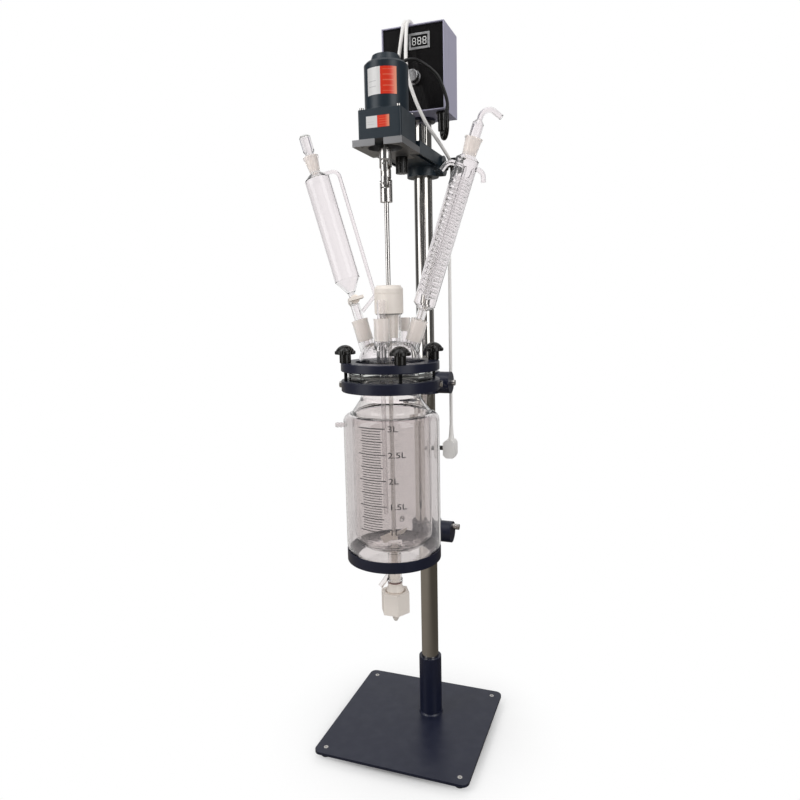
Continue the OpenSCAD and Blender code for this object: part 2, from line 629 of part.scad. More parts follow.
// A flared mouth with its rim at u, its bore, and the cone that fits it but ends short of its foot.
mouth_l = 28;
mouth_gap = 2 * joint_gap;
module mouth(u, low, high) {
    above_neck(u - mouth_l) cylinder(r1 = low, r2 = high, h = mouth_l);
    above_neck(u - 3) cylinder(r = high + 1, h = 3);
}
module mouth_bore(u, low, high) {
    above_neck(u - mouth_l) cylinder(r1 = low, r2 = high, h = mouth_l);
    above_neck(u - past) cylinder(r = high, h = 2 * past);
}
module mouth_cone(u, low, high) above_neck(u - mouth_l + 4)
    cylinder(r1 = low + (high - low) * 4 / mouth_l - mouth_gap, r2 = high - mouth_gap, h = mouth_l - 4);
module male_bore() above_neck(-joint_l - 15) cylinder(r = 4.6, h = joint_l + 20);
funnel_r = 22.5;
funnel_wall = 2;
cock_at = 36;
cock_turn = -55;
funnel_foot = 50;
funnel_top = 256;
funnel_end = funnel_top + 12 + mouth_l;
funnel_mouth = [7.2, 11];
equaliser_at = 39;
equaliser_turn = 25;
equaliser_r = 3.5;
equaliser_top = 250;
equaliser_low = 34;
module cock_axis() above_neck(cock_at) rotate(cock_turn) rotate([0, 90, 0]) children();
module equaliser(r, ext) rotate(equaliser_turn) {
    above_neck(equaliser_low) translate([equaliser_at, 0, 0])
        cylinder(r = r, h = equaliser_top - equaliser_low + lap);
    above_neck(equaliser_low) translate([equaliser_at, 0, 0]) sphere(r = r);
    above_neck(equaliser_top) translate([equaliser_at, 0, 0]) rotate(180) bend(r, 12, 90);
    above_neck(equaliser_top + 12) translate([equaliser_at - 12 + lap, 0, 0]) rotate([0, -90, 0])
        cylinder(r = r, h = 18 + lap + ext);
    above_neck(equaliser_low) translate([equaliser_at, 0, 0]) rotate([0, -125, 0])
        cylinder(r = r, h = 36 + ext);
}
module dropping_funnel() color(clear, 0.4) left_neck() difference() {
    union() {
        male_joint();
        above_neck(-1) cylinder(r = 8.5, h = 29);
        above_neck(27) cylinder(r1 = 8.5, r2 = 6, h = 4);
        above_neck(27) cylinder(r = 6, h = funnel_foot - 26);
        cock_axis() cylinder(r = 7.5, h = 22, center = true);
        above_neck(funnel_foot) cylinder(r1 = 7, r2 = funnel_r, h = 24);
        above_neck(funnel_foot + 24) cylinder(r = funnel_r, h = funnel_top - funnel_foot - 24);
        above_neck(funnel_top) cylinder(r1 = funnel_r, r2 = funnel_mouth[0] + 1.9, h = 12);
        mouth(funnel_end, funnel_mouth[0] + 1.9, funnel_mouth[1] + 2);
        equaliser(equaliser_r, 0);
    }
    male_bore();
    above_neck(-joint_l) cylinder(r = 4.6, h = joint_l + 28);
    above_neck(20) cylinder(r = 2, h = 35);
    cock_axis() cylinder(r = 5, h = 24, center = true);
    above_neck(funnel_foot + 2) cylinder(r1 = 5, r2 = funnel_r - funnel_wall, h = 22.5);
    above_neck(funnel_foot + 24) cylinder(r = funnel_r - funnel_wall, h = funnel_top - funnel_foot - 24.5);
    above_neck(funnel_top - 1) cylinder(r1 = funnel_r - funnel_wall, r2 = funnel_mouth[0], h = 11);
    above_neck(funnel_top + 9) cylinder(r = funnel_mouth[0], h = 4);
    mouth_bore(funnel_end, funnel_mouth[0], funnel_mouth[1]);
    equaliser(equaliser_r - 1.1, 1);
}
key_r = 5 - run_gap;
module stopcock_key() color(ptfe) left_neck() cock_axis() difference() {
    union() {
        translate([0, 0, -18]) cylinder(r = key_r, h = 34);
        translate([0, 0, 11.3]) cylinder(r = 8, h = 4);
        translate([0, 0, -15.3]) cylinder(r = 8, h = 4);
        translate([-2.5, -13, 15]) cube([5, 26, 14]);
    }
    rotate([0, -90, 0]) cylinder(r = 2, h = 20, center = true);
}
module funnel_stopper() color(clear, 0.5) left_neck() difference() {
    union() {
        mouth_cone(funnel_end, funnel_mouth[0], funnel_mouth[1]);
        above_neck(funnel_end) cylinder(r = 8, h = 9);
        above_neck(funnel_end + 7) cylinder(r1 = 8, r2 = 10, h = 4);
        above_neck(funnel_end + 11) cylinder(r = 10, h = 24);
        above_neck(funnel_end + 35) cylinder(r1 = 10, r2 = 8, h = 3);
    }
    above_neck(funnel_end - mouth_l) cylinder(r = 5.6, h = mouth_l + 34);
}

condenser_r = 19;
condenser_bore = condenser_r - 2;
condenser_foot = 27;
condenser_top = 270;
condenser_end = condenser_top + 6 + mouth_l;
condenser_mouth = [9.4, 12];
hose_z = 259;
coil_tube_d = 6;
coil_r = 13.4;
coil_low = 42;
coil_turns = 21;
coil_pitch = 9.5;
hose_out = 12;
hose_bend = 70;
module hose_nozzle(r, far) above_neck(hose_z) translate([condenser_r - 4, 0, 0]) rotate([0, 90, 0]) {
    cylinder(r = r, h = 6 + lap);
    translate([0, 0, 6]) bend(r, hose_out, hose_bend);
    translate([0, 0, 6]) after_bend(hose_out, hose_bend) translate([0, 0, -lap])
        cylinder(r = r, h = 9 + lap + far);
}
module coil_condenser() color(clear, 0.4) right_neck() difference() {
    union() {
        male_joint();
        above_neck(-1) cylinder(r = 8, h = condenser_foot - 8);
        above_neck(condenser_foot - 10) cylinder(r1 = 8, r2 = condenser_r, h = 10);
        above_neck(condenser_foot) cylinder(r = condenser_r, h = condenser_top - condenser_foot);
        above_neck(condenser_top) cylinder(r1 = condenser_r, r2 = condenser_mouth[0] + 1.9, h = 6);
        mouth(condenser_end, condenser_mouth[0] + 1.9, condenser_mouth[1] + 2);
        for (a = [0, 180]) rotate(a + 15) hose_nozzle(4.2, 0);
    }
    male_bore();
    above_neck(-joint_l) cylinder(r = 4.6, h = joint_l + 25);
    above_neck(condenser_foot - 8.5) cylinder(r1 = 6, r2 = condenser_bore, h = 9);
    above_neck(condenser_foot) cylinder(r = condenser_bore, h = condenser_top - condenser_foot - 1);
    above_neck(condenser_top - 1.5) cylinder(r1 = condenser_bore, r2 = condenser_mouth[0], h = 8);
    mouth_bore(condenser_end, condenser_mouth[0], condenser_mouth[1]);
    for (a = [0, 180]) rotate(a + 15) hose_nozzle(2.8, 1);
}
coil_sides = 16;
coil_start = 50;
coil_top = coil_low + coil_pitch * coil_turns;
// The ends of the spiral rise and fall gently to the wall and to the return tube.
coil_path = concat(
    [[condenser_bore - 1.8, 0, hose_z - 1.2], [condenser_bore - 3.1, 0, hose_z - 3.2]],
    [level(coil_r, 0, hose_z - 6), level(coil_r, 5, coil_top + 8)],
    [level(coil_r, 18, coil_top + 4), level(coil_r, 35, coil_top + 1.4)],
    [for (i = [0:coil_turns * coil_sides]) let (a = 360 * i / coil_sides)
        level(coil_r, coil_start + a, coil_top - coil_pitch * i / coil_sides)],
    [level(coil_r * 0.7, coil_start + 30, coil_low - 4),
        level(coil_r * 0.25, coil_start + 40, coil_low - 4)],
    [for (z = [coil_low + 3, coil_low + 60, coil_low + 120, hose_z - 8]) [0, 0, z]],
    [[-2, 0, hose_z - 3], [-7, 0, hose_z], [0.5 - condenser_bore, 0, hose_z]]);
module condenser_coil() color(clear, 0.5) right_neck() above_neck(0) rotate(15)
    sweep(coil_path, coil_tube_d, 8, [0, 1, 0]);
adapter_turn = 14;
adapter_bend = 113;
module adapter_path(r, ext) {
    above_neck(condenser_end + 28) cylinder(r = r, h = 4 + lap);
    above_neck(condenser_end + 32) bend(r, adapter_turn, adapter_bend);
    above_neck(condenser_end + 32) after_bend(adapter_turn, adapter_bend) translate([0, 0, -lap])
        cylinder(r = r, h = 15 + lap + ext);
}
module bent_adapter() color(clear, 0.5) right_neck() difference() {
    union() {
        mouth_cone(condenser_end, condenser_mouth[0], condenser_mouth[1]);
        above_neck(condenser_end - 1) cylinder(r = 9.2, h = 23);
        above_neck(condenser_end + 22) cylinder(r1 = 9.2, r2 = 4.5, h = 6);
        adapter_path(4.5, 0);
    }
    above_neck(condenser_end - mouth_l) cylinder(r = 7.4, h = mouth_l + 20);
    above_neck(condenser_end + 19.5) cylinder(r1 = 7.4, r2 = 3, h = 8);
    adapter_path(3, 1);
}

/* Drain valve */
drain_collar_z = drain_end_z - 2;
thread_r = 14.1;
thread_top_z = drain_collar_z - 15;
thread_end_z = thread_top_z - 36;
stem_r = 6;
stem_head_r = drain_bore - 0.3;
stem_head_z = jacket_z + 4;
stem_head_h = 10;
drain_knob_low_z = thread_end_z - 5.5;
drain_knob_top_z = thread_top_z - 1.5;
stem_end_z = drain_knob_low_z - 13;
module drain_body() color(ptfe) at_vessel() difference() {
    union() {
        translate([0, 0, drain_collar_z - past]) cylinder(r = drain_bore - 0.2, h = 20 + past);
        translate([0, 0, thread_top_z]) cylinder(r1 = thread_r + 2.4, r2 = 12.3, h = 12);
        translate([0, 0, drain_collar_z - 3]) cylinder(r = drain_r + 1, h = 3);
        translate([0, 0, thread_end_z]) cylinder(r = thread_r, h = thread_top_z - thread_end_z);
    }
    translate([0, 0, thread_end_z - past]) cylinder(r = stem_r + run_gap, h = 90);
}
module drain_stem() color(ptfe) at_vessel() {
    translate([0, 0, stem_end_z]) cylinder(r = stem_r, h = stem_head_z - stem_end_z);
    translate([0, 0, stem_end_z - 5.5]) cylinder(r1 = 3, r2 = stem_r, h = 5.5);
    difference() {
        union() {
            translate([0, 0, stem_head_z - 3]) cylinder(r1 = stem_r, r2 = stem_head_r, h = 3);
            translate([0, 0, stem_head_z]) cylinder(r = stem_head_r, h = stem_head_h - 2);
            translate([0, 0, stem_head_z + stem_head_h - 2]) cylinder(r1 = stem_head_r, r2 = 7, h = 2);
        }
        translate([0, 0, stem_head_z + 2]) tube(stem_head_r + 1, stem_head_r - 1.7, 3.2);
    }
    translate([0, 0, stem_head_z + 3.6]) rotate_extrude() translate([stem_head_r - 0.75, 0]) circle(0.95);
}
drain_knob_af = 47.5;
module drain_knob() color(ptfe) at_vessel() difference() {
    translate([0, 0, drain_knob_low_z]) hex_head(drain_knob_af, drain_knob_top_z - drain_knob_low_z);
    translate([0, 0, drain_knob_top_z - 2.5]) cylinder(r = thread_r + 4.4, h = 5);
    translate([0, 0, thread_end_z - 0.5]) cylinder(r = thread_r + 0.1, h = 60);
    translate([0, 0, drain_knob_low_z - past]) cylinder(r = stem_r + run_gap, h = 40);
}

/* Motor, gearbox and their bracket */
gear_module = 0.6;
pinion_n = 10;
wheel_n = 30;
gear_offset = gear_module * (pinion_n + wheel_n) / 2;
bolt_at = gearbox_w / 2 - 5.5;
bolt_r = 2;
module at_motor(z = 0) at_vessel(z) translate([0, gear_offset, 0]) children();
bracket_z = plate_under_z - 16;
bracket_top_z = gearbox_z + 11;
bracket_r = column_d / 2 + 13;
bracket_left = 40;
bracket_right = 40;
plate_rear = 64;
plate_front = 28;
plate_left = 48;
tongue_l = 34;
tongue_w = 40;
plate_hole_r = 29;
plate_gap = 0.3;
bracket_front = reach - plate_rear;
clamp_axis_z = plate_under_z + 3;
bracket_boss_r = 19;
module motor_bracket() color(slate) at_column() difference() {
    union() {
        translate([0, 0, bracket_z]) cylinder(r = bracket_r, h = bracket_top_z - bracket_z);
        translate([-bracket_left, plate_gap - bracket_front, plate_under_z])
            cube([bracket_left + bracket_right, bracket_front, bracket_top_z - plate_under_z]);
        translate([0, 0, clamp_axis_z]) rotate([0, 90, 0])
            cylinder(r = bracket_boss_r, h = bracket_right + 4);
    }
    translate([0, 0, bracket_z - past]) cylinder(d = column_d + 2 * slide_gap, h = 60);
    translate([-tongue_w / 2 - plate_gap, -bracket_front - past, plate_under_z - past])
        cube([tongue_w + 2 * plate_gap, tongue_l + 2, motor_plate_t + past]);
    for (s = [-1, 1]) translate([s * (tongue_w / 2 + 13.5) - 3.5, 6 - bracket_front, plate_under_z - past])
        cube([7, bracket_front - bracket_r - 12, 12]);
    translate([0, tongue_l / 2 - bracket_front, plate_under_z]) cylinder(r = 4.1, h = 17);
    translate([column_d / 2 - past, 0, clamp_axis_z]) rotate([0, 90, 0]) cylinder(r = 4.1, h = 40);
}
module motor_plate() color("#d7d9da") at_vessel(plate_under_z) difference() {
    union() {
        translate([-plate_left, -plate_front, 0])
            cube([plate_left + bracket_right, plate_front + plate_rear, motor_plate_t]);
        translate([-tongue_w / 2, plate_rear - 1, 0]) cube([tongue_w, tongue_l + 1, motor_plate_t]);
    }
    translate([0, 0, -past]) cylinder(r = plate_hole_r, h = motor_plate_t + 2 * past);
    translate([0, plate_rear + tongue_l / 2, -past]) cylinder(r = 4.1, h = motor_plate_t + 2 * past);
    translate([0, gear_offset, -past]) corner_bolts()
        cylinder(r = bolt_r + 0.05, h = motor_plate_t + 2 * past);
}
bracket_knob_r = 11;
bracket_knob_h = 28;
module bracket_knob() color(black) at_vessel(plate_under_z) translate([0, plate_rear + tongue_l / 2, 0]) {
    translate([0, 0, -bracket_knob_h - 0.1]) difference() {
        cylinder(r = bracket_knob_r, h = bracket_knob_h);
        for (k = [0:9]) rotate(36 * k) translate([bracket_knob_r + 1, 0, -past]) cylinder(r = 2, h = 24);
    }
    translate([0, 0, -1]) cylinder(r = 4, h = motor_plate_t + 6);
}
handle_at = 59;
module bracket_screw() color(black) at_column(clamp_axis_z) rotate([0, 90, 0]) {
    translate([0, 0, column_d / 2 + slide_gap]) cylinder(r = 4, h = handle_at - column_d / 2);
    translate([0, 0, bracket_right + 4.2]) cylinder(r = 9, h = 6);
    translate([0, 0, handle_at]) difference() {
        cylinder(r = 14, h = 15);
        for (k = [0:5]) rotate(60 * k) translate([17.5, 0, -past]) cylinder(r = 6, h = 16);
    }
}
module corner_bolts() for (x = [-1, 1], y = [-1, 1]) translate([x * bolt_at, y * bolt_at, 0]) children();
module gearbox_case() color(slate) at_motor(gearbox_z) difference() {
    linear_extrude(gearbox_h) difference() {
        square(gearbox_w, center = true);
        for (x = [-1, 1], y = [-1, 1]) translate([x * gearbox_w / 2, y * gearbox_w / 2]) difference() {
            square(8, center = true);
            translate([-4 * x, -4 * y]) circle(4);
        }
    }
    difference() {
        translate([0, 0, 6]) cylinder(r = 33, h = gearbox_h);
        translate([0, -gear_offset, 0]) cylinder(r = 10, h = 8);
    }
    translate([0, -gear_offset, -past]) cylinder(r = output_d / 2 + run_gap, h = 20);
    translate([0, 0, -past]) corner_bolts() cylinder(r = bolt_r + 0.05, h = gearbox_h + 2 * past);
}
can_wall = 3;
can_base_t = 4;
rotor_shaft_r = 2.4;
module motor_can() color(slate) at_motor(can_z) difference() {
    union() {
        cylinder(d = can_d, h = can_h);
        cylinder(d = can_d + 1.6, h = 2);
    }
    translate([0, 0, can_base_t]) cylinder(r = can_d / 2 - can_wall, h = can_h);
    translate([0, 0, -past]) cylinder(r = rotor_shaft_r + run_gap, h = 10);
}
cap_z = can_z + can_h;
cap_r = can_d / 2 - 4;
cable_turn = 76.5;
module motor_end_cap() color(slate) at_motor(cap_z) difference() {
    union() {
        cylinder(r1 = can_d / 2, r2 = cap_r, h = 4);
        translate([0, 0, 4]) cylinder(r1 = cap_r - 6, r2 = cap_r - 10, h = 12);
        translate([0, 0, -3]) cylinder(r = can_d / 2 - can_wall - 0.1, h = 3);
        rotate(cable_turn) translate([0, 0, 8]) rotate([0, 90, 0]) cylinder(r = 5, h = cap_r - 3.2);
    }
    translate([0, 0, -4]) cylinder(r = 20, h = 8);
    translate([0, 0, -4 - past]) cylinder(r = rotor_shaft_r + run_gap, h = 14);
}
module stator() color(steel) at_motor(can_z + 12) tube(can_d / 2 - can_wall - 0.1, 18.5, 54);

// Gear teeth with a true involute flank.
pressure = 25;
tooth_w = 14;
tooth_slack = 1.2;
gear_z = gearbox_z + 11;
function involute(a) = tan(a) * 180 / PI - a;
function half_tooth(n, rb, r) = 90 / n + involute(pressure) - involute(acos(min(1, rb / r)));
function polar(r, a) = r * [cos(a), sin(a)];
function gear_points(n, add, ded) =
    let (rp = n * gear_module / 2, rb = rp * cos(pressure), low = max(rb, rp - ded + 0.1))
    let (slack = tooth_slack * 3 / rp)
    let (rs = concat([rp - ded], [for (k = [0:4]) low + (rp + add - low) * k / 4]))
    let (half = [for (r = rs) half_tooth(n, rb, max(rb, r)) - slack])
    [for (i = [0:n - 1]) each concat(
        [for (k = [0:5]) polar(rs[k], 360 / n * i - half[k])],
        [for (k = [5:-1:0]) polar(rs[k], 360 / n * i + half[k])])];
module gear(n, add, ded) linear_extrude(tooth_w) polygon(gear_points(n, add, ded));
module rotor() color(steel) at_motor() {
    translate([0, 0, gear_z]) rotate(180 / pinion_n - 90) gear(pinion_n, 0.5, 0.55);
    translate([0, 0, gear_z - 2]) cylinder(r = rotor_shaft_r, h = cap_z + 8 - gear_z);
    translate([0, 0, can_z + 14]) cylinder(r = 17.8, h = 50);
}
module output_shaft() color(steel) at_vessel() {
    translate([0, 0, gear_z]) rotate(90) gear(wheel_n, 0.36, 0.7);
    translate([0, 0, upper_pivot_z + 13]) cylinder(d = output_d, h = gear_z + 20 - upper_pivot_z - 13);
}

/* Control box */
box_x = 3;
box_front = 61;
panel_in = 4;
panel_t = 2;
module at_box(z = 0) at_column(box_z + z) translate([box_x, -box_front, 0]) children();
knob_x = 1.6;
speed_knob_z = 61;
speed_knob_d = 25;
display_x = 12.5;
display_z = 123;
display_w = 40;
display_h = 28;
gland_x = -38;
gland_y = 40;
plug_x = 49;
plug_y = 20;
fold_groove = 0.7;
module control_box() color("#9d9db4") at_box() difference() {
    translate([-box_w / 2, 0, 0]) cube([box_w, box_d, box_h]);
    translate([box_wall - box_w / 2, panel_in + panel_t, box_wall]) cube([box_w - 2 * box_wall,
        box_d - panel_in - panel_t - box_wall, box_h - 2 * box_wall]);
    translate([box_wall - box_w / 2, -past, box_wall])
        cube([box_w - 2 * box_wall, panel_in + panel_t + 2 * past, box_h - 2 * box_wall]);
    for (x = [-1, 1]) translate([x * box_w / 2, 30, 0]) rotate(45)
        cube([fold_groove, fold_groove, 2 * box_h + 2], center = true);
    translate([-box_x, box_front, -past]) cylinder(r = 5, h = 4);
    translate([gland_x, gland_y, -past]) cylinder(r = 6, h = 4);
    translate([plug_x, plug_y, -past]) cylinder(r = 6, h = 4);
}
module front_panel() color(black) at_box() difference() {
    translate([box_wall + 0.1 - box_w / 2, panel_in, box_wall + 0.1])
        cube([box_w - 2 * box_wall - 0.2, panel_t, box_h - 2 * box_wall - 0.2]);
    translate([display_x - display_w / 2 + 3, panel_in - past, display_z - display_h / 2 + 3])
        cube([display_w - 6, panel_t + 2 * past, display_h - 6]);
    translate([knob_x, panel_in - past, speed_knob_z]) rotate([-90, 0, 0])
        cylinder(r = 3 + run_gap, h = panel_t + 2 * past);
}
module display() color(steel) at_box() difference() {
    union() {
        translate([display_x - display_w / 2, panel_in - 2.5, display_z - display_h / 2])
            cube([display_w, 2.5, display_h]);
        translate([display_x - display_w / 2 + 3.1, panel_in - 1, display_z - display_h / 2 + 3.1])
            cube([display_w - 6.2, 15, display_h - 6.2]);
    }
    translate([display_x - display_w / 2 + 4, panel_in - 3, display_z - display_h / 2 + 4])
        cube([display_w - 8, 2, display_h - 8]);
}
module at_knob() at_box() translate([knob_x, panel_in - 0.5, speed_knob_z]) rotate([90, 0, 0]) children();
module speed_knob() color(steel) at_knob() difference() {
    union() {
        cylinder(d = speed_knob_d, h = 2);
        cylinder(d = speed_knob_d - 3, h = 15);
        translate([0, 0, 15]) cylinder(d1 = speed_knob_d - 3, d2 = speed_knob_d - 5, h = 1);
        translate([0, 0, -10]) cylinder(r = 3, h = 11);
    }
    translate([-0.6, 3, 15]) cube([1.2, 9, 2]);
}
board_y = box_d - 18;
module control_board() color("#2f5a44") at_box() {
    translate([-45, board_y, 16]) cube([90, 1.6, 118]);
    for (x = [-40, 40], z = [21, 129]) translate([x, board_y + 1, z]) rotate([-90, 0, 0])
        cylinder(r = 3, h = box_d - box_wall - board_y - 1);
    translate([-35, board_y - 28, 30]) cube([40, 28.5, 34]);
    for (x = [18, 34]) translate([x, board_y - 22, 44]) rotate([-90, 0, 0]) cylinder(r = 6.5, h = 22.5);
    translate([-30, board_y - 12, 84]) cube([56, 12.5, 26]);
    translate([knob_x, panel_in + panel_t, speed_knob_z]) rotate([-90, 0, 0]) difference() {
        cylinder(r = 9, h = 9);
        translate([0, 0, -past]) cylinder(r = 3 + run_gap, h = 9);
    }
}
module box_mount() color(navy) at_column(column_h) {
    cylinder(r = 26, h = box_flange_t);
    translate([0, 0, -30]) cylinder(r = column_d / 2 - column_wall - 0.1, h = 31);
    translate([0, 0, box_flange_t - 1]) cylinder(r = 4.9, h = box_wall + 1);
    translate([0, 0, box_flange_t + box_wall]) hex_head(16, 6);
}
plug_turn = -59;
boot_turn = 16.4;
module cable_connector() color(black) at_box() translate([plug_x, plug_y, 0]) {
    translate([0, 0, -3]) hex_head(20, 3);
    translate([0, 0, -16]) cylinder(r = 8.5, h = 14);
    cylinder(r = 5.9, h = box_wall);
    translate([0, 0, box_wall]) hex_head(14, 4);
    translate([0, 0, -34]) cylinder(r = 7.5, h = 19);
    rotate(plug_turn) mirror([0, 0, 1]) translate([0, 0, 33.5]) {
        bend(4.5, boot_turn, 180);
        translate([2 * boot_turn, 0, -8]) cylinder(r = 4.5, h = 8 + lap);
    }
}
module cord_gland() color(black) at_box() translate([gland_x, gland_y, 0]) difference() {
    union() {
        translate([0, 0, -4]) hex_head(17, 4);
        translate([0, 0, -14]) cylinder(r1 = 5, r2 = 8, h = 10.5);
        translate([0, 0, -1]) cylinder(r = 5.9, h = box_wall + 1);
        translate([0, 0, box_wall]) hex_head(16, 4);
    }
    translate([0, 0, -15]) cylinder(r = 2.4, h = 25);
}

/* Cords */
box_origin = [column_x + box_x, column_y - box_front, box_z];
cable_start = box_origin + [plug_x, plug_y, 0] + level(2 * boot_turn, plug_turn, -25.5);
cable_end = [column_x, column_y - reach + gear_offset, cap_z] + level(cap_r - 3.2, cable_turn, 8);
cable_route = concat([cable_start, cable_start + [0, 0, 14]],
    [[96, -25, 1244], [91, -30, 1266], [82, -37, 1288], [66, -46, 1304]],
    [[52, -60, 1311], [43, -78, 1308], [37, -94, 1300]],
    [for (out = [14, 7, 0]) cable_end + level(out, cable_turn, 0)]);
module motor_cable() color(black) on_plate() sweep(smooth(cable_route, 3), cable_d, 8, [1, 0, 0]);
cord_start = box_origin + [gland_x, gland_y, -14];
plug_cord_x = 70;
plug_cord_y = 72;
plug_top_z = 620;
cord_route = concat([cord_start, cord_start + [0, 0, -14]],
    [[-10, 19, 1188], [-10, -6, 1176], [-9, -31, 1189], [-6, -37, 1235], [1, -34, 1290]],
    [[12, -25, 1374], [13, -17, 1393], [13.2, 0, 1400], [13.2, 28, 1397], [12.6, 58, 1400]],
    [[11, 76, 1393], [7, 84, 1374], [-5, 87, 1330], [-12, 87, 1286], [-8, 87, 1254]],
    [[14, 87, 1238], [36, 87, 1254], [40, 87, 1286], [33, 87, 1330], [25, 84, 1374]],
    [[22, 76, 1393], [20, 58, 1400], [20, 28, 1397], [20, 0, 1400], [20, -17, 1393]],
    [[20, -25, 1374], [26, -45, 1308], [38, -45, 1261], [56, -36, 1216], [69, -12, 1190]],
    [[74, 15, 1177], [79.5, 50, 1157], [78, 65, 1133], [73, 71, 1080]],
    [for (z = [1020, 890, 760, plug_top_z]) [plug_cord_x, plug_cord_y, z]]);
module mains_cord() color("white") on_plate() sweep(smooth(cord_route, 2), cord_d, 8, [1, 0, 0]);
plug_body_z = 566;
module mains_plug() color("white") on_plate(plug_cord_x, plug_cord_y) {
    translate([0, 0, plug_top_z - 18]) cylinder(r1 = 6.5, r2 = 4.4, h = 18);
    translate([1, 0, plug_body_z + 19]) rotate([90, 0, 0]) linear_extrude(26, center = true)
        polygon([[-16, -13], [-10, -19], [5, -19], [9, -12], [9, 12], [5, 19], [-10, 19], [-16, 13]]);
    for (y = [-6.35, 6.35]) translate([-29, y - 0.8, plug_body_z + 16]) cube([15, 1.6, 6.3]);
}

base_plate();
rubber_feet();
foot_screws();
column_socket();
column();
lower_ring();
lower_bosshead();
lower_clamp_screw();
flange_ring();
fixing_screws();
upper_bosshead();
upper_clamp_screw();
lid_ring();
lid_studs();
lid_knob_1();
lid_knob_2();
lid_knob_3();
lid_knob_4();
jacketed_vessel();
flat_gaskets();
vessel_lid();
seal_body();
seal_cap();
stirrer_shaft();
stirrer_blade();
lower_yoke();
middle_yoke();
upper_yoke();
joint_crosses();
thermowell();
dropping_funnel();
stopcock_key();
funnel_stopper();
coil_condenser();
condenser_coil();
bent_adapter();
drain_body();
drain_stem();
drain_knob();
motor_bracket();
motor_plate();
bracket_screw();
bracket_knob();
gearbox_case();
motor_can();
motor_end_cap();
stator();
rotor();
output_shaft();
control_box();
front_panel();
display();
speed_knob();
box_mount();
control_board();
cable_connector();
motor_cable();
cord_gland();
mains_cord();
mains_plug();
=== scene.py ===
"""The looks of a jacketed glass reactor on its stand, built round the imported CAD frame.

Lengths are metres in the row frame: the origin is the middle of the base plate's underside, +Z runs up the
column and -Y is the front. The cords' stations, the necks and the spiral are in millimetres, and heights
among them start at the plate's top. Each sub-assembly is a class with its sizes and the methods that make
and dress its pieces, and each finish is a frozen dataclass that fills one of the record's material slots.
"""

import logging
import math
from dataclasses import dataclass
from enum import Enum

import bmesh
import bpy
import numpy as np
from mathutils import Matrix, Vector


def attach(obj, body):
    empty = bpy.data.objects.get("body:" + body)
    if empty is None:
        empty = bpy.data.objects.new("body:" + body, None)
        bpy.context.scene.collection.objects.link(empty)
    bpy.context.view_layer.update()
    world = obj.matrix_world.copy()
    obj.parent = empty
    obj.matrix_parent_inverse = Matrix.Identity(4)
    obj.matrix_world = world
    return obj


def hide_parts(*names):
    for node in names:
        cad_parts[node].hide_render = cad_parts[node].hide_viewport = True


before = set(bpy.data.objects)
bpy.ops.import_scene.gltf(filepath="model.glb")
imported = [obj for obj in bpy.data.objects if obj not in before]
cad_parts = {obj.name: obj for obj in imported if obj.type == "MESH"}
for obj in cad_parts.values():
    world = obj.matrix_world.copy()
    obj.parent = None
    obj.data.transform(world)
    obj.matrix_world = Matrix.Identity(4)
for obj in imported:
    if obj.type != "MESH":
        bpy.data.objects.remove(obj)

Pair = tuple[float, float]
Triple = tuple[float, float, float]
Span = float | np.ndarray
Socket = bpy.types.NodeSocket
Piece = bpy.types.Object

LOG = logging.getLogger("reactor")
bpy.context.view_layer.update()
PLATE_T = 0.006
VESSEL = np.array([0.025, -0.158, 0.0])
MOTOR = np.array([0.025, -0.146, 0.0])
LEAN = {-1: math.radians(16.5), 1: math.radians(18.5)}
NECK_L = 50.0
NECK_RIM_AT = 56.0
SHARP = math.radians(40)
CORNER = math.radians(30)
FLAT = math.radians(0.4)


def above(x: float, y: float, z: float) -> Triple:
    """Returns a point given in millimetres from the plate's top, in metres in the row frame."""
    return (x / 1000, y / 1000, z / 1000 + PLATE_T)


def neck_foot(side: int) -> Triple:
    """Returns the foot of the left neck (-1) or of the right one (1) on its axis."""
    return above(25 + side * (NECK_RIM_AT - NECK_L * math.sin(LEAN[side])), -158, 812)


# ---------------------------------------------------------------------------------------------------
# Shader nodes


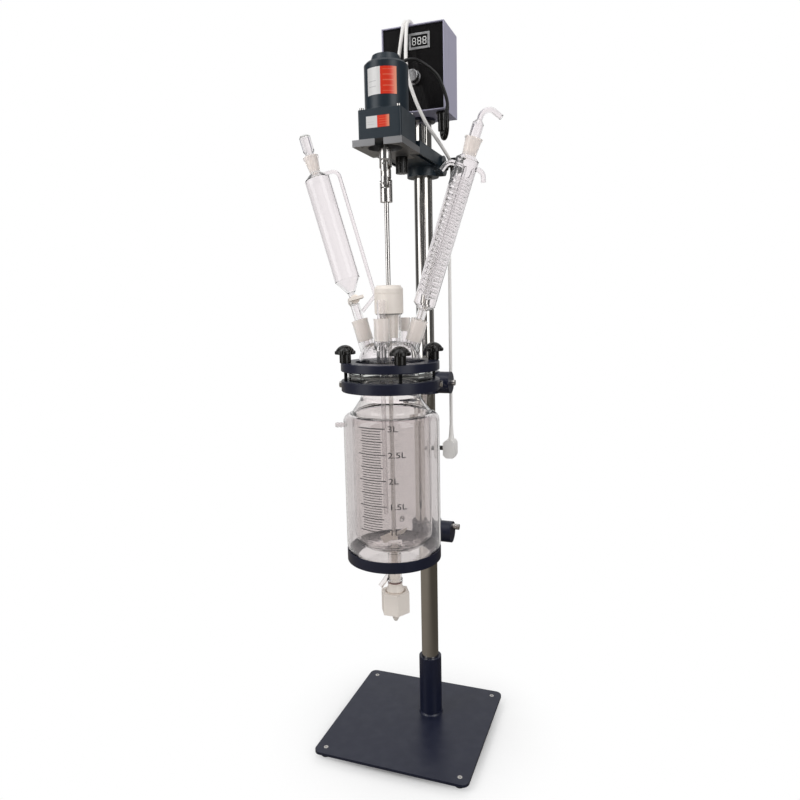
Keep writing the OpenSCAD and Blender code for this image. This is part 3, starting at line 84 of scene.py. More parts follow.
class Value:
    """A socket that carries a number, with shader maths written as Python operators."""

    def __init__(self, sheet: "Sheet", socket: Socket) -> None:
        """Holds the socket and the sheet that it lies on."""
        self.sheet = sheet
        self.socket = socket

    def maths(self, operation: str, *given: "Value | float") -> "Value":
        """Returns what one Math node makes of its inputs, values or plain numbers, in their order."""
        node = self.sheet.node("ShaderNodeMath", {"operation": operation}, dict(enumerate(given)))
        return Value(self.sheet, node.outputs[0])

    def __add__(self, other: "Value | float") -> "Value":
        """Returns self plus other."""
        return self.maths("ADD", self, other)

    __radd__ = __add__

    def __sub__(self, other: "Value | float") -> "Value":
        """Returns self less other."""
        return self.maths("SUBTRACT", self, other)

    def __rsub__(self, other: float) -> "Value":
        """Returns other less self."""
        return self.maths("SUBTRACT", other, self)

    def __mul__(self, other: "Value | float") -> "Value":
        """Returns self times other."""
        return self.maths("MULTIPLY", self, other)

    __rmul__ = __mul__

    def __gt__(self, other: "Value | float") -> "Value":
        """Returns 1 where self is more than other, else 0."""
        return self.maths("GREATER_THAN", self, other)

    def __lt__(self, other: "Value | float") -> "Value":
        """Returns 1 where self is less than other, else 0."""
        return self.maths("LESS_THAN", self, other)

    def largest(self, other: "Value | float") -> "Value":
        """Returns the larger of the two."""
        return self.maths("MAXIMUM", self, other)

    def rise(self, low: float, high: float) -> "Value":
        """Returns a smooth step.

        Args:
            low: where the step starts to leave 0.
            high: where it reaches 1. It may be less than low, and the step then falls.

        Returns:
            0 before low, 1 after high and a smooth curve between.
        """
        settings = {"interpolation_type": "SMOOTHSTEP"}
        node = self.sheet.node("ShaderNodeMapRange", settings, {0: self, 1: low, 2: high, 3: 0.0, 4: 1.0})
        return Value(self.sheet, node.outputs[0])

    def within(self, low: float, high: float, edge: float) -> "Value":
        """Returns a mask that is 1 from low to high and fades over edge at both ends."""
        return self.rise(low - edge, low + edge) * self.rise(high + edge, high - edge)


class Sheet:
    """The nodes of one material, or of the world."""

    def __init__(self, owner: bpy.types.Material | bpy.types.World) -> None:
        """Empties the owner's nodes."""
        owner.use_nodes = True
        self.owner = owner
        self.tree = owner.node_tree
        self.tree.nodes.clear()

    def node(self, kind: str, settings: dict | None = None, inputs: dict | None = None) -> bpy.types.Node:
        """Adds a node, sets it up and then fills its sockets.

        Args:
            kind: the node's type.
            settings: its properties.
            inputs: socket index or name to a value, a socket or a plain default.

        Returns:
            The new node.
        """
        made = self.tree.nodes.new(kind)
        for name, setting in (settings or {}).items():
            setattr(made, name, setting)
        for name, given in (inputs or {}).items():
            given = given.socket if isinstance(given, Value) else given
            if isinstance(given, Socket):
                self.tree.links.new(given, made.inputs[name])
            else:
                made.inputs[name].default_value = given
        return made

    def place(self) -> Socket:
        """Returns the Object coordinates, which are the row frame's."""
        return self.node("ShaderNodeTexCoord").outputs["Object"]

    def axes(self, vector: Socket | None = None) -> tuple[Value, Value, Value]:
        """Returns the three parts of a vector, or of the place if none is given."""
        vector = self.place() if vector is None else vector
        node = self.node("ShaderNodeSeparateXYZ", None, {0: vector})
        return tuple(Value(self, socket) for socket in node.outputs)

    def vector(self, operation: str, *given: object) -> Socket:
        """Returns the vector that one Vector Math node makes of its inputs."""
        return self.node("ShaderNodeVectorMath", {"operation": operation}, dict(enumerate(given))).outputs[0]

    def measure(self, operation: str, *given: object) -> Value:
        """Returns the number that one Vector Math node makes of its inputs."""
        node = self.node("ShaderNodeVectorMath", {"operation": operation}, dict(enumerate(given)))
        return Value(self, node.outputs["Value"])

    def aside(self) -> Value:
        """Returns the distance from the vessel's upright axis."""
        offset = self.vector("SUBTRACT", self.place(), tuple(VESSEL))
        return self.measure("LENGTH", self.vector("MULTIPLY", offset, (1.0, 1.0, 0.0)))

    def noise(self, scale: float, detail: float = 2.0, vector: Socket | None = None) -> Value:
        """Returns smooth noise about 0.5.

        Args:
            scale: cells a metre.
            detail: how many finer octaves are added.
            vector: where it is read, if not at the place.

        Returns:
            The noise, from 0 to 1.
        """
        vector = self.place() if vector is None else vector
        node = self.node("ShaderNodeTexNoise", None, {"Vector": vector, "Scale": scale, "Detail": detail})
        return Value(self, node.outputs["Factor" if "Factor" in node.outputs else "Fac"])

    def mix(self, factor: Value | float, low: object, high: object) -> Socket:
        """Mixes two colours.

        Args:
            factor: 0 gives low and 1 gives high.
            low: a colour socket or a triple.
            high: the same.

        Returns:
            The mixed colour.
        """
        def ends(colour: object) -> object:
            """Gives a plain triple its alpha."""
            return (*colour, 1.0) if isinstance(colour, tuple) else colour
        node = self.node("ShaderNodeMix", {"data_type": "RGBA"}, {0: factor, 6: ends(low), 7: ends(high)})
        return node.outputs[2]

    def bump(self, height: Value, depth: float) -> Socket:
        """Returns the normal over a height of 0 to 1 that stands depth metres proud."""
        sizes = {"Strength": 1.0, "Distance": depth, "Height": height}
        return self.node("ShaderNodeBump", None, sizes).outputs[0]

    def blend(self, factor: Value, low: object, high: object) -> Socket:
        """Returns the shader that is low where the factor is 0 and high where it is 1."""
        return self.node("ShaderNodeMixShader", None, {0: factor, 1: low, 2: high}).outputs[0]

    def glow(self, colour: object) -> Socket:
        """Returns an emission of strength 1 in a colour."""
        return self.node("ShaderNodeEmission", None, {0: colour, 1: 1.0}).outputs[0]

    def end(self, shader: Socket, volume: Socket | None = None) -> None:
        """Links the finished shader to the sheet's output.

        Args:
            shader: the surface shader, or the world's background.
            volume: what fills the inside, if anything does.
        """
        kind = "World" if isinstance(self.owner, bpy.types.World) else "Material"
        output = self.node(f"ShaderNodeOutput{kind}", None, {0: shader})
        if volume is not None:
            self.tree.links.new(volume, output.inputs["Volume"])


# ---------------------------------------------------------------------------------------------------
# Finishes


@dataclass(frozen=True)
class Finish:
    """A plain moulded or painted surface. The finishes below change what it has.

    The colour wanders by mottle about its mean in patch cells a metre, and the roughness by spread in touch
    cells a metre. A fine relief of grain cells a metre stands relief metres proud.
    """

    slot: str
    colour: Triple
    roughness: float = 0.5
    metallic: float = 0.0
    coat: float = 0.0
    mottle: float = 0.06
    patch: float = 28.0
    spread: float = 0.05
    touch: float = 60.0
    grain: float = 900.0
    relief: float = 0.00001

    def tint(self, sheet: Sheet) -> Socket:
        """Returns the base colour, a shade lighter and darker in broad soft patches."""
        dark = tuple(c * (1 - self.mottle) for c in self.colour)
        light = tuple(c * (1 + self.mottle) for c in self.colour)
        return sheet.mix(sheet.noise(self.patch, 4.0), dark, light)

    def gloss(self, sheet: Sheet) -> Value:
        """Returns the roughness, which wanders a little as handled surfaces do."""
        return self.roughness + self.spread * (sheet.noise(self.touch, 3.0) - 0.5) * 2.0

    def height(self, sheet: Sheet) -> Value:
        """Returns the relief's height from 0 to 1."""
        return sheet.noise(self.grain, 2.0)

    def shader(self, sheet: Sheet) -> bpy.types.Node:
        """Returns the Principled shader with the finish's colour, roughness and relief."""
        return sheet.node("ShaderNodeBsdfPrincipled", None, {
            "Base Color": self.tint(sheet),
            "Roughness": self.gloss(sheet),
            "Metallic": self.metallic,
            "Coat Weight": self.coat,
            "Coat Roughness": 0.08,
            "Normal": sheet.bump(self.height(sheet), self.relief),
        })

    def fill(self, sheet: Sheet) -> None:
        """Links the finish's shader to the sheet's output."""
        sheet.end(self.shader(sheet).outputs[0])

    def apply(self) -> None:
        """Fills the slot's material, made new if the model has none."""
        self.fill(Sheet(bpy.data.materials.get(self.slot) or bpy.data.materials.new(self.slot)))


@dataclass(frozen=True)
class PowderCoat(Finish):
    """Baked powder paint: low orange peel, and a faint bloom of dust on faces that look up."""

    dust: float = 0.10
    bloom: Triple = (0.25, 0.26, 0.29)
    peel: float = 480.0
    grit: float = 2600.0

    def tint(self, sheet: Sheet) -> Socket:
        """Returns the paint with its dust, which lies where the face looks up and the noise is high."""
        _, _, up = sheet.axes(sheet.node("ShaderNodeNewGeometry").outputs["Normal"])
        share = up.rise(0.5, 1.0) * sheet.noise(45.0, 5.0).rise(0.35, 0.75) * self.dust
        return sheet.mix(share, super().tint(sheet), self.bloom)

    def height(self, sheet: Sheet) -> Value:
        """Returns orange peel: round cells about 2 mm across with fine grit on them."""
        return sheet.noise(self.peel, 0.0) * 0.8 + sheet.noise(self.grit, 0.0) * 0.2


@dataclass(frozen=True)
class DrawnMetal(Finish):
    """Ground or drawn metal with fine streaks along one axis."""

    along: Triple = (1.0, 1.0, 0.02)
    streak: float = 700.0
    metallic: float = 1.0

    def streaks(self, sheet: Sheet, scale: float) -> Value:
        """Returns noise drawn out along the axis whose factor is small."""
        return sheet.noise(scale, 3.0, sheet.vector("MULTIPLY", sheet.place(), self.along))

    def gloss(self, sheet: Sheet) -> Value:
        """Returns the roughness, which follows the streaks."""
        return self.roughness + self.spread * (self.streaks(sheet, self.streak) - 0.5) * 2.0

    def height(self, sheet: Sheet) -> Value:
        """Returns the streaks as a relief."""
        return self.streaks(sheet, self.grain)


@dataclass(frozen=True)
class SealPlastic(Finish):
    """Milky turned PTFE, with the red O-ring of the drain stem's head in the same slot."""

    ring: Triple = (0.16, 0.012, 0.008)
    ring_z: Pair = (0.4483, 0.4507)
    ring_r: Pair = (0.0083, 0.0104)
    marks: float = 2500.0

    def tint(self, sheet: Sheet) -> Socket:
        """Returns PTFE, and red between the O-ring's two heights outside the groove's floor."""
        _, _, z = sheet.axes()
        mask = z.within(*self.ring_z, 0.0002) * sheet.aside().within(*self.ring_r, 0.0001)
        return sheet.mix(mask, super().tint(sheet), self.ring)

    def height(self, sheet: Sheet) -> Value:
        """Returns turning marks: rings 0.4 mm apart with a little noise."""
        _, _, z = sheet.axes()
        mark = z.maths("FRACT", z * self.marks)
        return mark * 0.4 + sheet.noise(300.0, 2.0) * 0.6


@dataclass(frozen=True)
class Gasket(Finish):
    """Soft gaskets: a red one at the drain collar and pale silicone at the flange and the foot."""

    red: Triple = (0.16, 0.012, 0.008)
    red_below: float = 0.40

    def tint(self, sheet: Sheet) -> Socket:
        """Returns red below its height and the slot's colour above."""
        _, _, z = sheet.axes()
        return sheet.mix(z < self.red_below, super().tint(sheet), self.red)


@dataclass(frozen=True)
class CordPlastic(Finish):
    """Soft white plastic of the mains cord and its plug. The plug's two dark pins are in the same slot."""

    pin: Triple = (0.035, 0.032, 0.030)
    pin_x: float = 0.0549
    pin_z: Pair = (0.552, 0.612)

    def tint(self, sheet: Sheet) -> Socket:
        """Returns the plastic's colour, and the pins' left of pin_x between the two heights."""
        x, _, z = sheet.axes()
        pins = (x < self.pin_x) * z.within(*self.pin_z, 0.0001)
        return sheet.mix(pins, super().tint(sheet), self.pin)


@dataclass(frozen=True)
class GroundBand:
    """A ground joint: the band of a cone between two heights on an axis.

    Its two faces lie between inner and outer at the low end and widen by flare a metre.
    """

    origin: Triple
    lean: float
    low: float
    high: float
    inner: float
    outer: float
    flare: float = 0.05

    def mask(self, sheet: Sheet, place: Socket) -> Value:
        """Returns 1 on the ground band and 0 off it.

        Args:
            sheet: the material's nodes.
            place: the Object coordinates.

        Returns:
            The product of a height mask and a radius mask. Height is the offset's part along the axis, and
            radius is the length of what is left, less what the cone has widened by.
        """
        axis = (math.sin(self.lean), 0.0, math.cos(self.lean))
        offset = sheet.vector("SUBTRACT", place, self.origin)
        height = sheet.measure("DOT_PRODUCT", offset, axis)
        scale = sheet.node("ShaderNodeVectorMath", {"operation": "SCALE"}, {0: axis, "Scale": height})
        reach = sheet.measure("LENGTH", sheet.vector("SUBTRACT", offset, scale.outputs[0]))
        radius = reach - (height - self.low) * self.flare
        return height.within(self.low, self.high, 0.0004) * radius.within(self.inner, self.outer, 0.0001)


def neck_bands() -> tuple[GroundBand, ...]:
    """Returns the ground bands of the two leaning necks, of what stands in them and of the upright ones."""
    found = [GroundBand(neck_foot(side), side * LEAN[side], 0.012, 0.050, 0.0098, 0.0103) for side in LEAN]
    found.append(GroundBand(neck_foot(-1), -LEAN[-1], 0.318, 0.346, 0.0068, 0.0074, 3.8 / 28))
    found.append(GroundBand(neck_foot(1), LEAN[1], 0.326, 0.354, 0.0090, 0.0096, 2.6 / 28))
    found.append(GroundBand(above(25, -194, 0), 0.0, 0.825, 0.863, 0.0089, 0.0094))
    found.append(GroundBand(above(43.5, -125.96, 0), 0.0, 0.839, 0.863, 0.0054, 0.0059))
    return tuple(found)


@dataclass(frozen=True)
class LabGlass(Finish):
    """Blown borosilicate glass with ground joints. One wall lets through about its colour."""

    ior: float = 1.474
    wave: float = 22.0
    ground: Triple = (0.935, 0.885, 0.85)
    ground_share: float = 0.72
    ground_roughness: float = 0.55
    absorb: Triple = (0.62, 0.74, 0.66)
    density: float = 9.0
    shadow: Triple = (0.93, 0.93, 0.93)

    def clear(self, sheet: Sheet) -> object:
        """Returns what a clear wall lets through, a triple or a colour socket."""
        return self.colour

    def fill(self, sheet: Sheet) -> None:
        """Links the glass to the sheet's output.

        Light goes through a Principled shader with full transmission. Shadow rays pass through a plain
        transparent one, so that what stands behind glass is lit. The wall's volume takes a little light.

        Args:
            sheet: the material's nodes.
        """
        place = sheet.place()
        mask = None
        for band in neck_bands():
            one = band.mask(sheet, place)
            mask = one if mask is None else mask.largest(one)
        shader = sheet.node("ShaderNodeBsdfPrincipled", None, {
            "Base Color": sheet.mix(mask, self.clear(sheet), self.ground),
            "Roughness": mask * self.ground_roughness + self.roughness,
            "IOR": self.ior,
            "Transmission Weight": 1.0,
            "Normal": sheet.bump(sheet.noise(self.wave, 1.0), self.relief),
        })
        milky = sheet.node("ShaderNodeBsdfDiffuse", None, {0: (*self.ground, 1.0), 1: 0.5})
        lit = sheet.blend(mask * self.ground_share, shader.outputs[0], milky.outputs[0])
        through = sheet.node("ShaderNodeBsdfTransparent", None, {0: (*self.shadow, 1.0)})
        shadow = sheet.node("ShaderNodeLightPath").outputs["Is Shadow Ray"]
        volume = {0: (*self.absorb, 1.0), "Density": self.density}
        sheet.end(sheet.blend(shadow, lit, through.outputs[0]),
                  sheet.node("ShaderNodeVolumeAbsorption", None, volume).outputs[0])


@dataclass(frozen=True)
class JacketGlass(LabGlass):
    """The vessel's glass, with painted shade: beyond jacket_r its outer wall takes a darker copy of the glass
    colour, so that it looks greyer than the inner vessel.
    """

    # painted shade: a darker copy of the glass colour for the outer wall, standing for its greyer look
    painted_jacket_shade: Triple = (0.775, 0.745, 0.745)
    jacket_r: float = 0.076

    def clear(self, sheet: Sheet) -> Socket:
        """Returns the colour by the distance from the vessel's axis: the glass colour inside jacket_r, and
        the painted shade's darker copy of it outside.
        """
        return sheet.mix(sheet.aside() > self.jacket_r, self.colour, self.painted_jacket_shade)


@dataclass(frozen=True)
class PrintedLabel(Finish):
    """A glossy label in two colour fields, with plain rules where a maker's words would stand.

    The orange field pales towards its right edge.
    """

    field: Triple = (0.70, 0.030, 0.006)
    pale: Triple = (0.86, 0.40, 0.24)
    grey: Triple = (0.28, 0.28, 0.29)
    split: float = 0.48
    rules: float = 5.0
    rule_v: Pair = (0.42, 0.58)
    left_u: Pair = (0.06, 0.34)
    left_v: Pair = (0.12, 0.62)
    right_u: Pair = (0.56, 0.90)
    right_v: Pair = (0.10, 0.90)

    def tint(self, sheet: Sheet) -> Socket:
        """Returns white to the left of the split with grey rules, and orange to the right with pale ones."""
        u, v, _ = sheet.axes(sheet.node("ShaderNodeTexCoord").outputs["UV"])
        rule = v.maths("FRACT", v * self.rules).within(*self.rule_v, 0.03)
        left = rule * u.within(*self.left_u, 0.01) * v.within(*self.left_v, 0.01)
        right = rule * u.within(*self.right_u, 0.01) * v.within(*self.right_v, 0.01)
        white = sheet.mix(left * 0.45, self.colour, self.grey)
        faded = sheet.mix(u.rise(0.80, 1.0) * 0.7, self.field, self.pale)
        return sheet.mix(u > self.split, white, sheet.mix(right * 0.35, faded, self.pale))


@dataclass(frozen=True)
class LitPrint(Finish):
    """Lit segments of the speed display: a plain colour that glows a little."""

    glow: float = 0.8

    def shader(self, sheet: Sheet) -> bpy.types.Node:
        """Returns the plain shader with its own light."""
        shader = super().shader(sheet)
        shader.inputs["Emission Color"].default_value = (*self.colour, 1.0)
        shader.inputs["Emission Strength"].default_value = self.glow
        return shader


EVEN = (1.0, 1.0, 1.0)
ACROSS = (0.08, 1.0, 1.0)
INWARD = (1.0, 0.05, 1.0)
LAYERED = (0.05, 0.05, 1.0)
FINISHES = (
    PowderCoat("navy_paint", (0.0085, 0.0108, 0.0270), roughness=0.33, relief=0.00002, dust=0.03),
    PowderCoat("slate_paint", (0.0120, 0.0215, 0.0310), roughness=0.36, relief=0.00002, dust=0.03),
    PowderCoat("box_paint", (0.40, 0.385, 0.50), roughness=0.46, relief=0.00002, dust=0.02),
    DrawnMetal("polished_steel", (0.62, 0.60, 0.57), roughness=0.10, spread=0.04, relief=0.0000015),
    DrawnMetal("bright_steel", (0.66, 0.64, 0.62), roughness=0.20, spread=0.08, relief=0.000004, along=EVEN),
    DrawnMetal("black_steel", (0.020, 0.020, 0.021), roughness=0.42, relief=0.000006, along=EVEN),
    DrawnMetal("plate_aluminium", (0.34, 0.34, 0.35), roughness=0.42, relief=0.000012, along=ACROSS),
    DrawnMetal("knob_aluminium", (0.55, 0.55, 0.56), roughness=0.28, relief=0.000006, along=INWARD),
    DrawnMetal("stator_steel", (0.30, 0.30, 0.31), roughness=0.5, along=LAYERED),
    DrawnMetal("rotor_steel", (0.40, 0.40, 0.41), roughness=0.45, along=LAYERED),
    Finish("black_plastic", (0.0042, 0.0038, 0.0032), roughness=0.24, spread=0.06, grain=1400.0),
    Finish("black_rubber", (0.014, 0.014, 0.015), roughness=0.72, grain=1600.0, relief=0.00002),
    Gasket("gasket_rubber", (0.30, 0.29, 0.27), roughness=0.45),
    JacketGlass("vessel_glass", (0.925, 0.902, 0.896), roughness=0.0, relief=0.00002),
    LabGlass("thin_glass", (0.905, 0.893, 0.896), roughness=0.0, relief=0.00002),
    LabGlass("spiral_glass", (0.975, 0.970, 0.972), roughness=0.0, relief=0.0, density=2.0),
    SealPlastic("white_ptfe", (0.92, 0.845, 0.775), roughness=0.42, mottle=0.03, relief=0.000008),
    Finish("panel_black", (0.0040, 0.0034, 0.0038), roughness=0.20, grain=2400.0, relief=0.000006),
    Finish("display_plastic", (0.50, 0.50, 0.51), roughness=0.28, metallic=0.6, relief=0.000002),
    Finish("display_window", (0.0080, 0.0075, 0.0080), roughness=0.12, relief=0.000001),
    Finish("board_green", (0.010, 0.085, 0.035), roughness=0.45, mottle=0.2),
    Finish("cable_black", (0.010, 0.010, 0.0105), roughness=0.38, grain=700.0, relief=0.00003),
    CordPlastic("cord_white", (0.92, 0.895, 0.87), roughness=0.36, mottle=0.03, grain=500.0, relief=0.00003),
    PrintedLabel("label_print", (0.70, 0.69, 0.68), roughness=0.30, relief=0.000002),
    Finish("scale_ink", (0.030, 0.024, 0.027), roughness=0.6),
    LitPrint("lit_segments", (0.62, 0.62, 0.61), roughness=0.4, glow=0.45),
)


# ---------------------------------------------------------------------------------------------------
# Surfaces from arrays


def flowing(points: list[Triple], cuts: int) -> np.ndarray:
    """Runs one smooth line through points.

    Each span is the cubic that meets its two ends with half the chord of their neighbours as slope.

    Args:
        points: the stations.
        cuts: how many parts each span is cut into.

    Returns:
        The line's points, n by 3.
    """
    p = np.asarray(points, float)
    before, after = np.vstack([p[:1], p[:-2]]), np.vstack([p[2:], p[-1:]])
    a, b = p[:-1][:, None], p[1:][:, None]
    t = (np.arange(cuts) / cuts)[None, :, None]
    first, last = before[:, None], after[:, None]
    cubic = 0.5 * (2 * a + (b - first) * t + (2 * first - 5 * a + 4 * b - last) * t**2
                   + (3 * a - first - 3 * b + last) * t**3)
    return np.vstack([cubic.reshape(-1, 3), p[-1:]])


def length_of(path: np.ndarray) -> float:
    """Returns the length of a line of points: the sum of its steps."""
    return float(np.linalg.norm(np.diff(path, axis=0), axis=1).sum())


def carried(path: np.ndarray) -> tuple[np.ndarray, np.ndarray]:
    """Gives each station of a path two sides that don't twist.

    Each side is the one before it, less its part along the tangent, made one long again.

    Args:
        path: the stations, n by 3.

    Returns:
        The two side directions at each station. The second is the tangent crossed with the first.
    """
    tangent = np.gradient(path, axis=0)
    tangent /= np.linalg.norm(tangent, axis=1)[:, None]
    side = np.cross(tangent[0], (0.31, 0.93, 0.17))
    sides = []
    for way in tangent:
        side = side - way * side.dot(way)
        side = side / np.linalg.norm(side)
        sides.append(side)
    sides = np.array(sides)
    return sides, np.cross(tangent, sides)


def shown(name: str, mesh: bpy.types.Mesh, smooth: bool = True) -> Piece:
    """Puts a mesh in the scene, smooth but for edges over 40 degrees, or as it is.

    Args:
        name: the piece's name.
        mesh: its mesh.
        smooth: whether the shading is set.

    Returns:
        The piece.
    """
    if smooth:
        mesh.shade_smooth()
        mesh.set_sharp_from_angle(angle=SHARP)
    piece = bpy.data.objects.new(name, mesh)
    bpy.context.collection.objects.link(piece)
    return piece


def skin(name: str, grid: np.ndarray, wrap: bool = True, lids: bool = True) -> Piece:
    """Makes a surface from a grid of points.

    The quad at row i and column j joins it to row i + 1 and column j + 1, so a grid whose columns run
    round its rows' direction to the left faces outwards. The UV map is the column and row as shares.

    Args:
        name: the piece's name.
        grid: rows by columns by 3.
        wrap: the last column joins the first.
        lids: the first and last rows are closed with a face each.

    Returns:
        The piece.
    """
    rows, cols = grid.shape[:2]
    spans = cols if wrap else cols - 1
    row, col = np.meshgrid(np.arange(rows - 1), np.arange(spans), indexing="ij")
    row = row[..., None] + np.array([0, 0, 1, 1])
    col = col[..., None] + np.array([0, 1, 1, 0])
    faces = (row * cols + col % cols).reshape(-1, 4).tolist()
    shares = np.stack([col / spans, row / (rows - 1)], -1).reshape(-1, 2)
    if lids:
        faces += [list(range(cols))[::-1], list(range((rows - 1) * cols, rows * cols))]
        shares = np.vstack([shares, np.zeros((2 * cols, 2))])
    mesh = bpy.data.meshes.new(name)
    mesh.from_pydata(grid.reshape(-1, 3).tolist(), [], faces)
    mesh.uv_layers.new(name="UVMap").data.foreach_set("uv", shares.astype(np.float32).ravel())
    return shown(name, mesh)


def rings(path: np.ndarray, radius: Span, sides: int) -> np.ndarray:
    """Makes a tube's grid: each ring is its station plus radius times the turned sides.

    Args:
        path: the centreline.
        radius: one radius, or one for each station.
        sides: points in a ring.

    Returns:
        The grid, stations by sides by 3.
    """
    first, second = carried(path)
    turn = np.linspace(0, 2 * math.pi, sides, endpoint=False)[None, :, None]
    reach = np.broadcast_to(np.asarray(radius, float), (len(path),))[:, None, None]
    return path[:, None] + reach * (np.cos(turn) * first[:, None] + np.sin(turn) * second[:, None])


def around(middle: np.ndarray, radius: Span, turn: Span, z: Span) -> np.ndarray:
    """Returns points at a radius and turns in radians round the upright axis of middle, z above it."""
    x, y, z = np.broadcast_arrays(radius * np.cos(turn), radius * np.sin(turn), z)
    return np.stack([x, y, z], -1) + middle


def front(name: str, x: np.ndarray, z: np.ndarray, y: float) -> Piece:
    """Makes a flat sheet that faces the front, a grid of every x with every z at one y."""
    wide, high = np.meshgrid(x, z)
    return skin(name, np.stack([wide, np.full_like(wide, y), high], -1), wrap=False, lids=False)


def join(name: str, pieces: list[Piece]) -> Piece:
    """Merges pieces into one mesh.

    Args:
        name: the new piece's name.
        pieces: what it is made of. They are removed.

    Returns:
        The merged piece.
    """
    work = bmesh.new()
    for piece in pieces:
        work.from_mesh(piece.data)
        bpy.data.objects.remove(piece)
    mesh = bpy.data.meshes.new(name)
    work.to_mesh(mesh)
    work.free()
    return shown(name, mesh)


def settle(piece: Piece, slot: str, body: str = "stand") -> Piece:
    """Gives a piece its finish and the body it rides on, and reports it.

    Args:
        piece: the new piece.
        slot: the material slot's name.
        body: the CAD body it moves with.

    Returns:
        The same piece.
    """
    piece.data.materials.clear()
    piece.data.materials.append(bpy.data.materials[slot])
    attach(piece, body)
    slot not in NEW_SLOTS
    LOG.info("%s: %d faces, rides on %s", piece.name, len(piece.data.polygons), body)
    return piece


NEW_SLOTS = ("label_print", "scale_ink", "display_window", "lit_segments", "spiral_glass")
THIN_GLASS = ("vessel_lid", "thermowell", "dropping_funnel", "funnel_stopper", "coil_condenser",
              "bent_adapter")


class Edge(Enum):
    """How far the edges of a CAD piece are broken, in metres."""

    FINE = 0.0003
    BROKEN = 0.0007
    ROUND = 0.0014


def ease(names: tuple[str, ...], edge: Edge, segments: int = 2) -> None:
    """Breaks the edges of CAD pieces so that they catch the light.

    The loose triangles are merged, flat areas are dissolved, edges over 30 degrees get a small bevel, and
    the normals are weighted by face area so that flats stay flat.

    Args:
        names: the CAD nodes.
        edge: the bevel's width.
        segments: the steps across it.
    """
    for name in names:
        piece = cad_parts[name]
        weld = piece.modifiers.new("weld", "WELD")
        weld.merge_threshold = 0.00001
        flat = piece.modifiers.new("flats", "DECIMATE")
        flat.decimate_type = "DISSOLVE"
        flat.angle_limit = FLAT
        bevel = piece.modifiers.new("edges", "BEVEL")
        bevel.width = edge.value
        bevel.segments = segments
        bevel.limit_method = "ANGLE"
        bevel.angle_limit = CORNER
        shade = piece.modifiers.new("normals", "WEIGHTED_NORMAL")
        shade.weight = 60
        LOG.info("%s: edges %.1f mm", name, edge.value * 1000)


def thread(name: str, foot: np.ndarray, radius: float, run: float, pitch: float) -> Piece:
    """Makes an upright screw thread as a height over a cylinder.

    The radius at turn a and height h is the root plus the depth times a triangle wave of h / pitch less
    a / one turn, so that the crest climbs one pitch a turn.

    Args:
        name: the piece's name.
        foot: the middle of its lower end.
        radius: the crest's radius.
        run: how long the thread is.
        pitch: crest to crest.

    Returns:
        The thread.
    """
    rows = int(round(run / pitch * 8)) + 1
    turn = np.linspace(0, 2 * math.pi, 24, endpoint=False)[None, :]
    rise = np.linspace(0, run, rows)[:, None]
    wave = np.abs(((rise / pitch - turn / (2 * math.pi)) % 1.0) * 2 - 1)
    reach = radius - 0.55 * pitch * wave
    return skin(name, around(foot, reach, turn, rise))


# ---------------------------------------------------------------------------------------------------
# The room


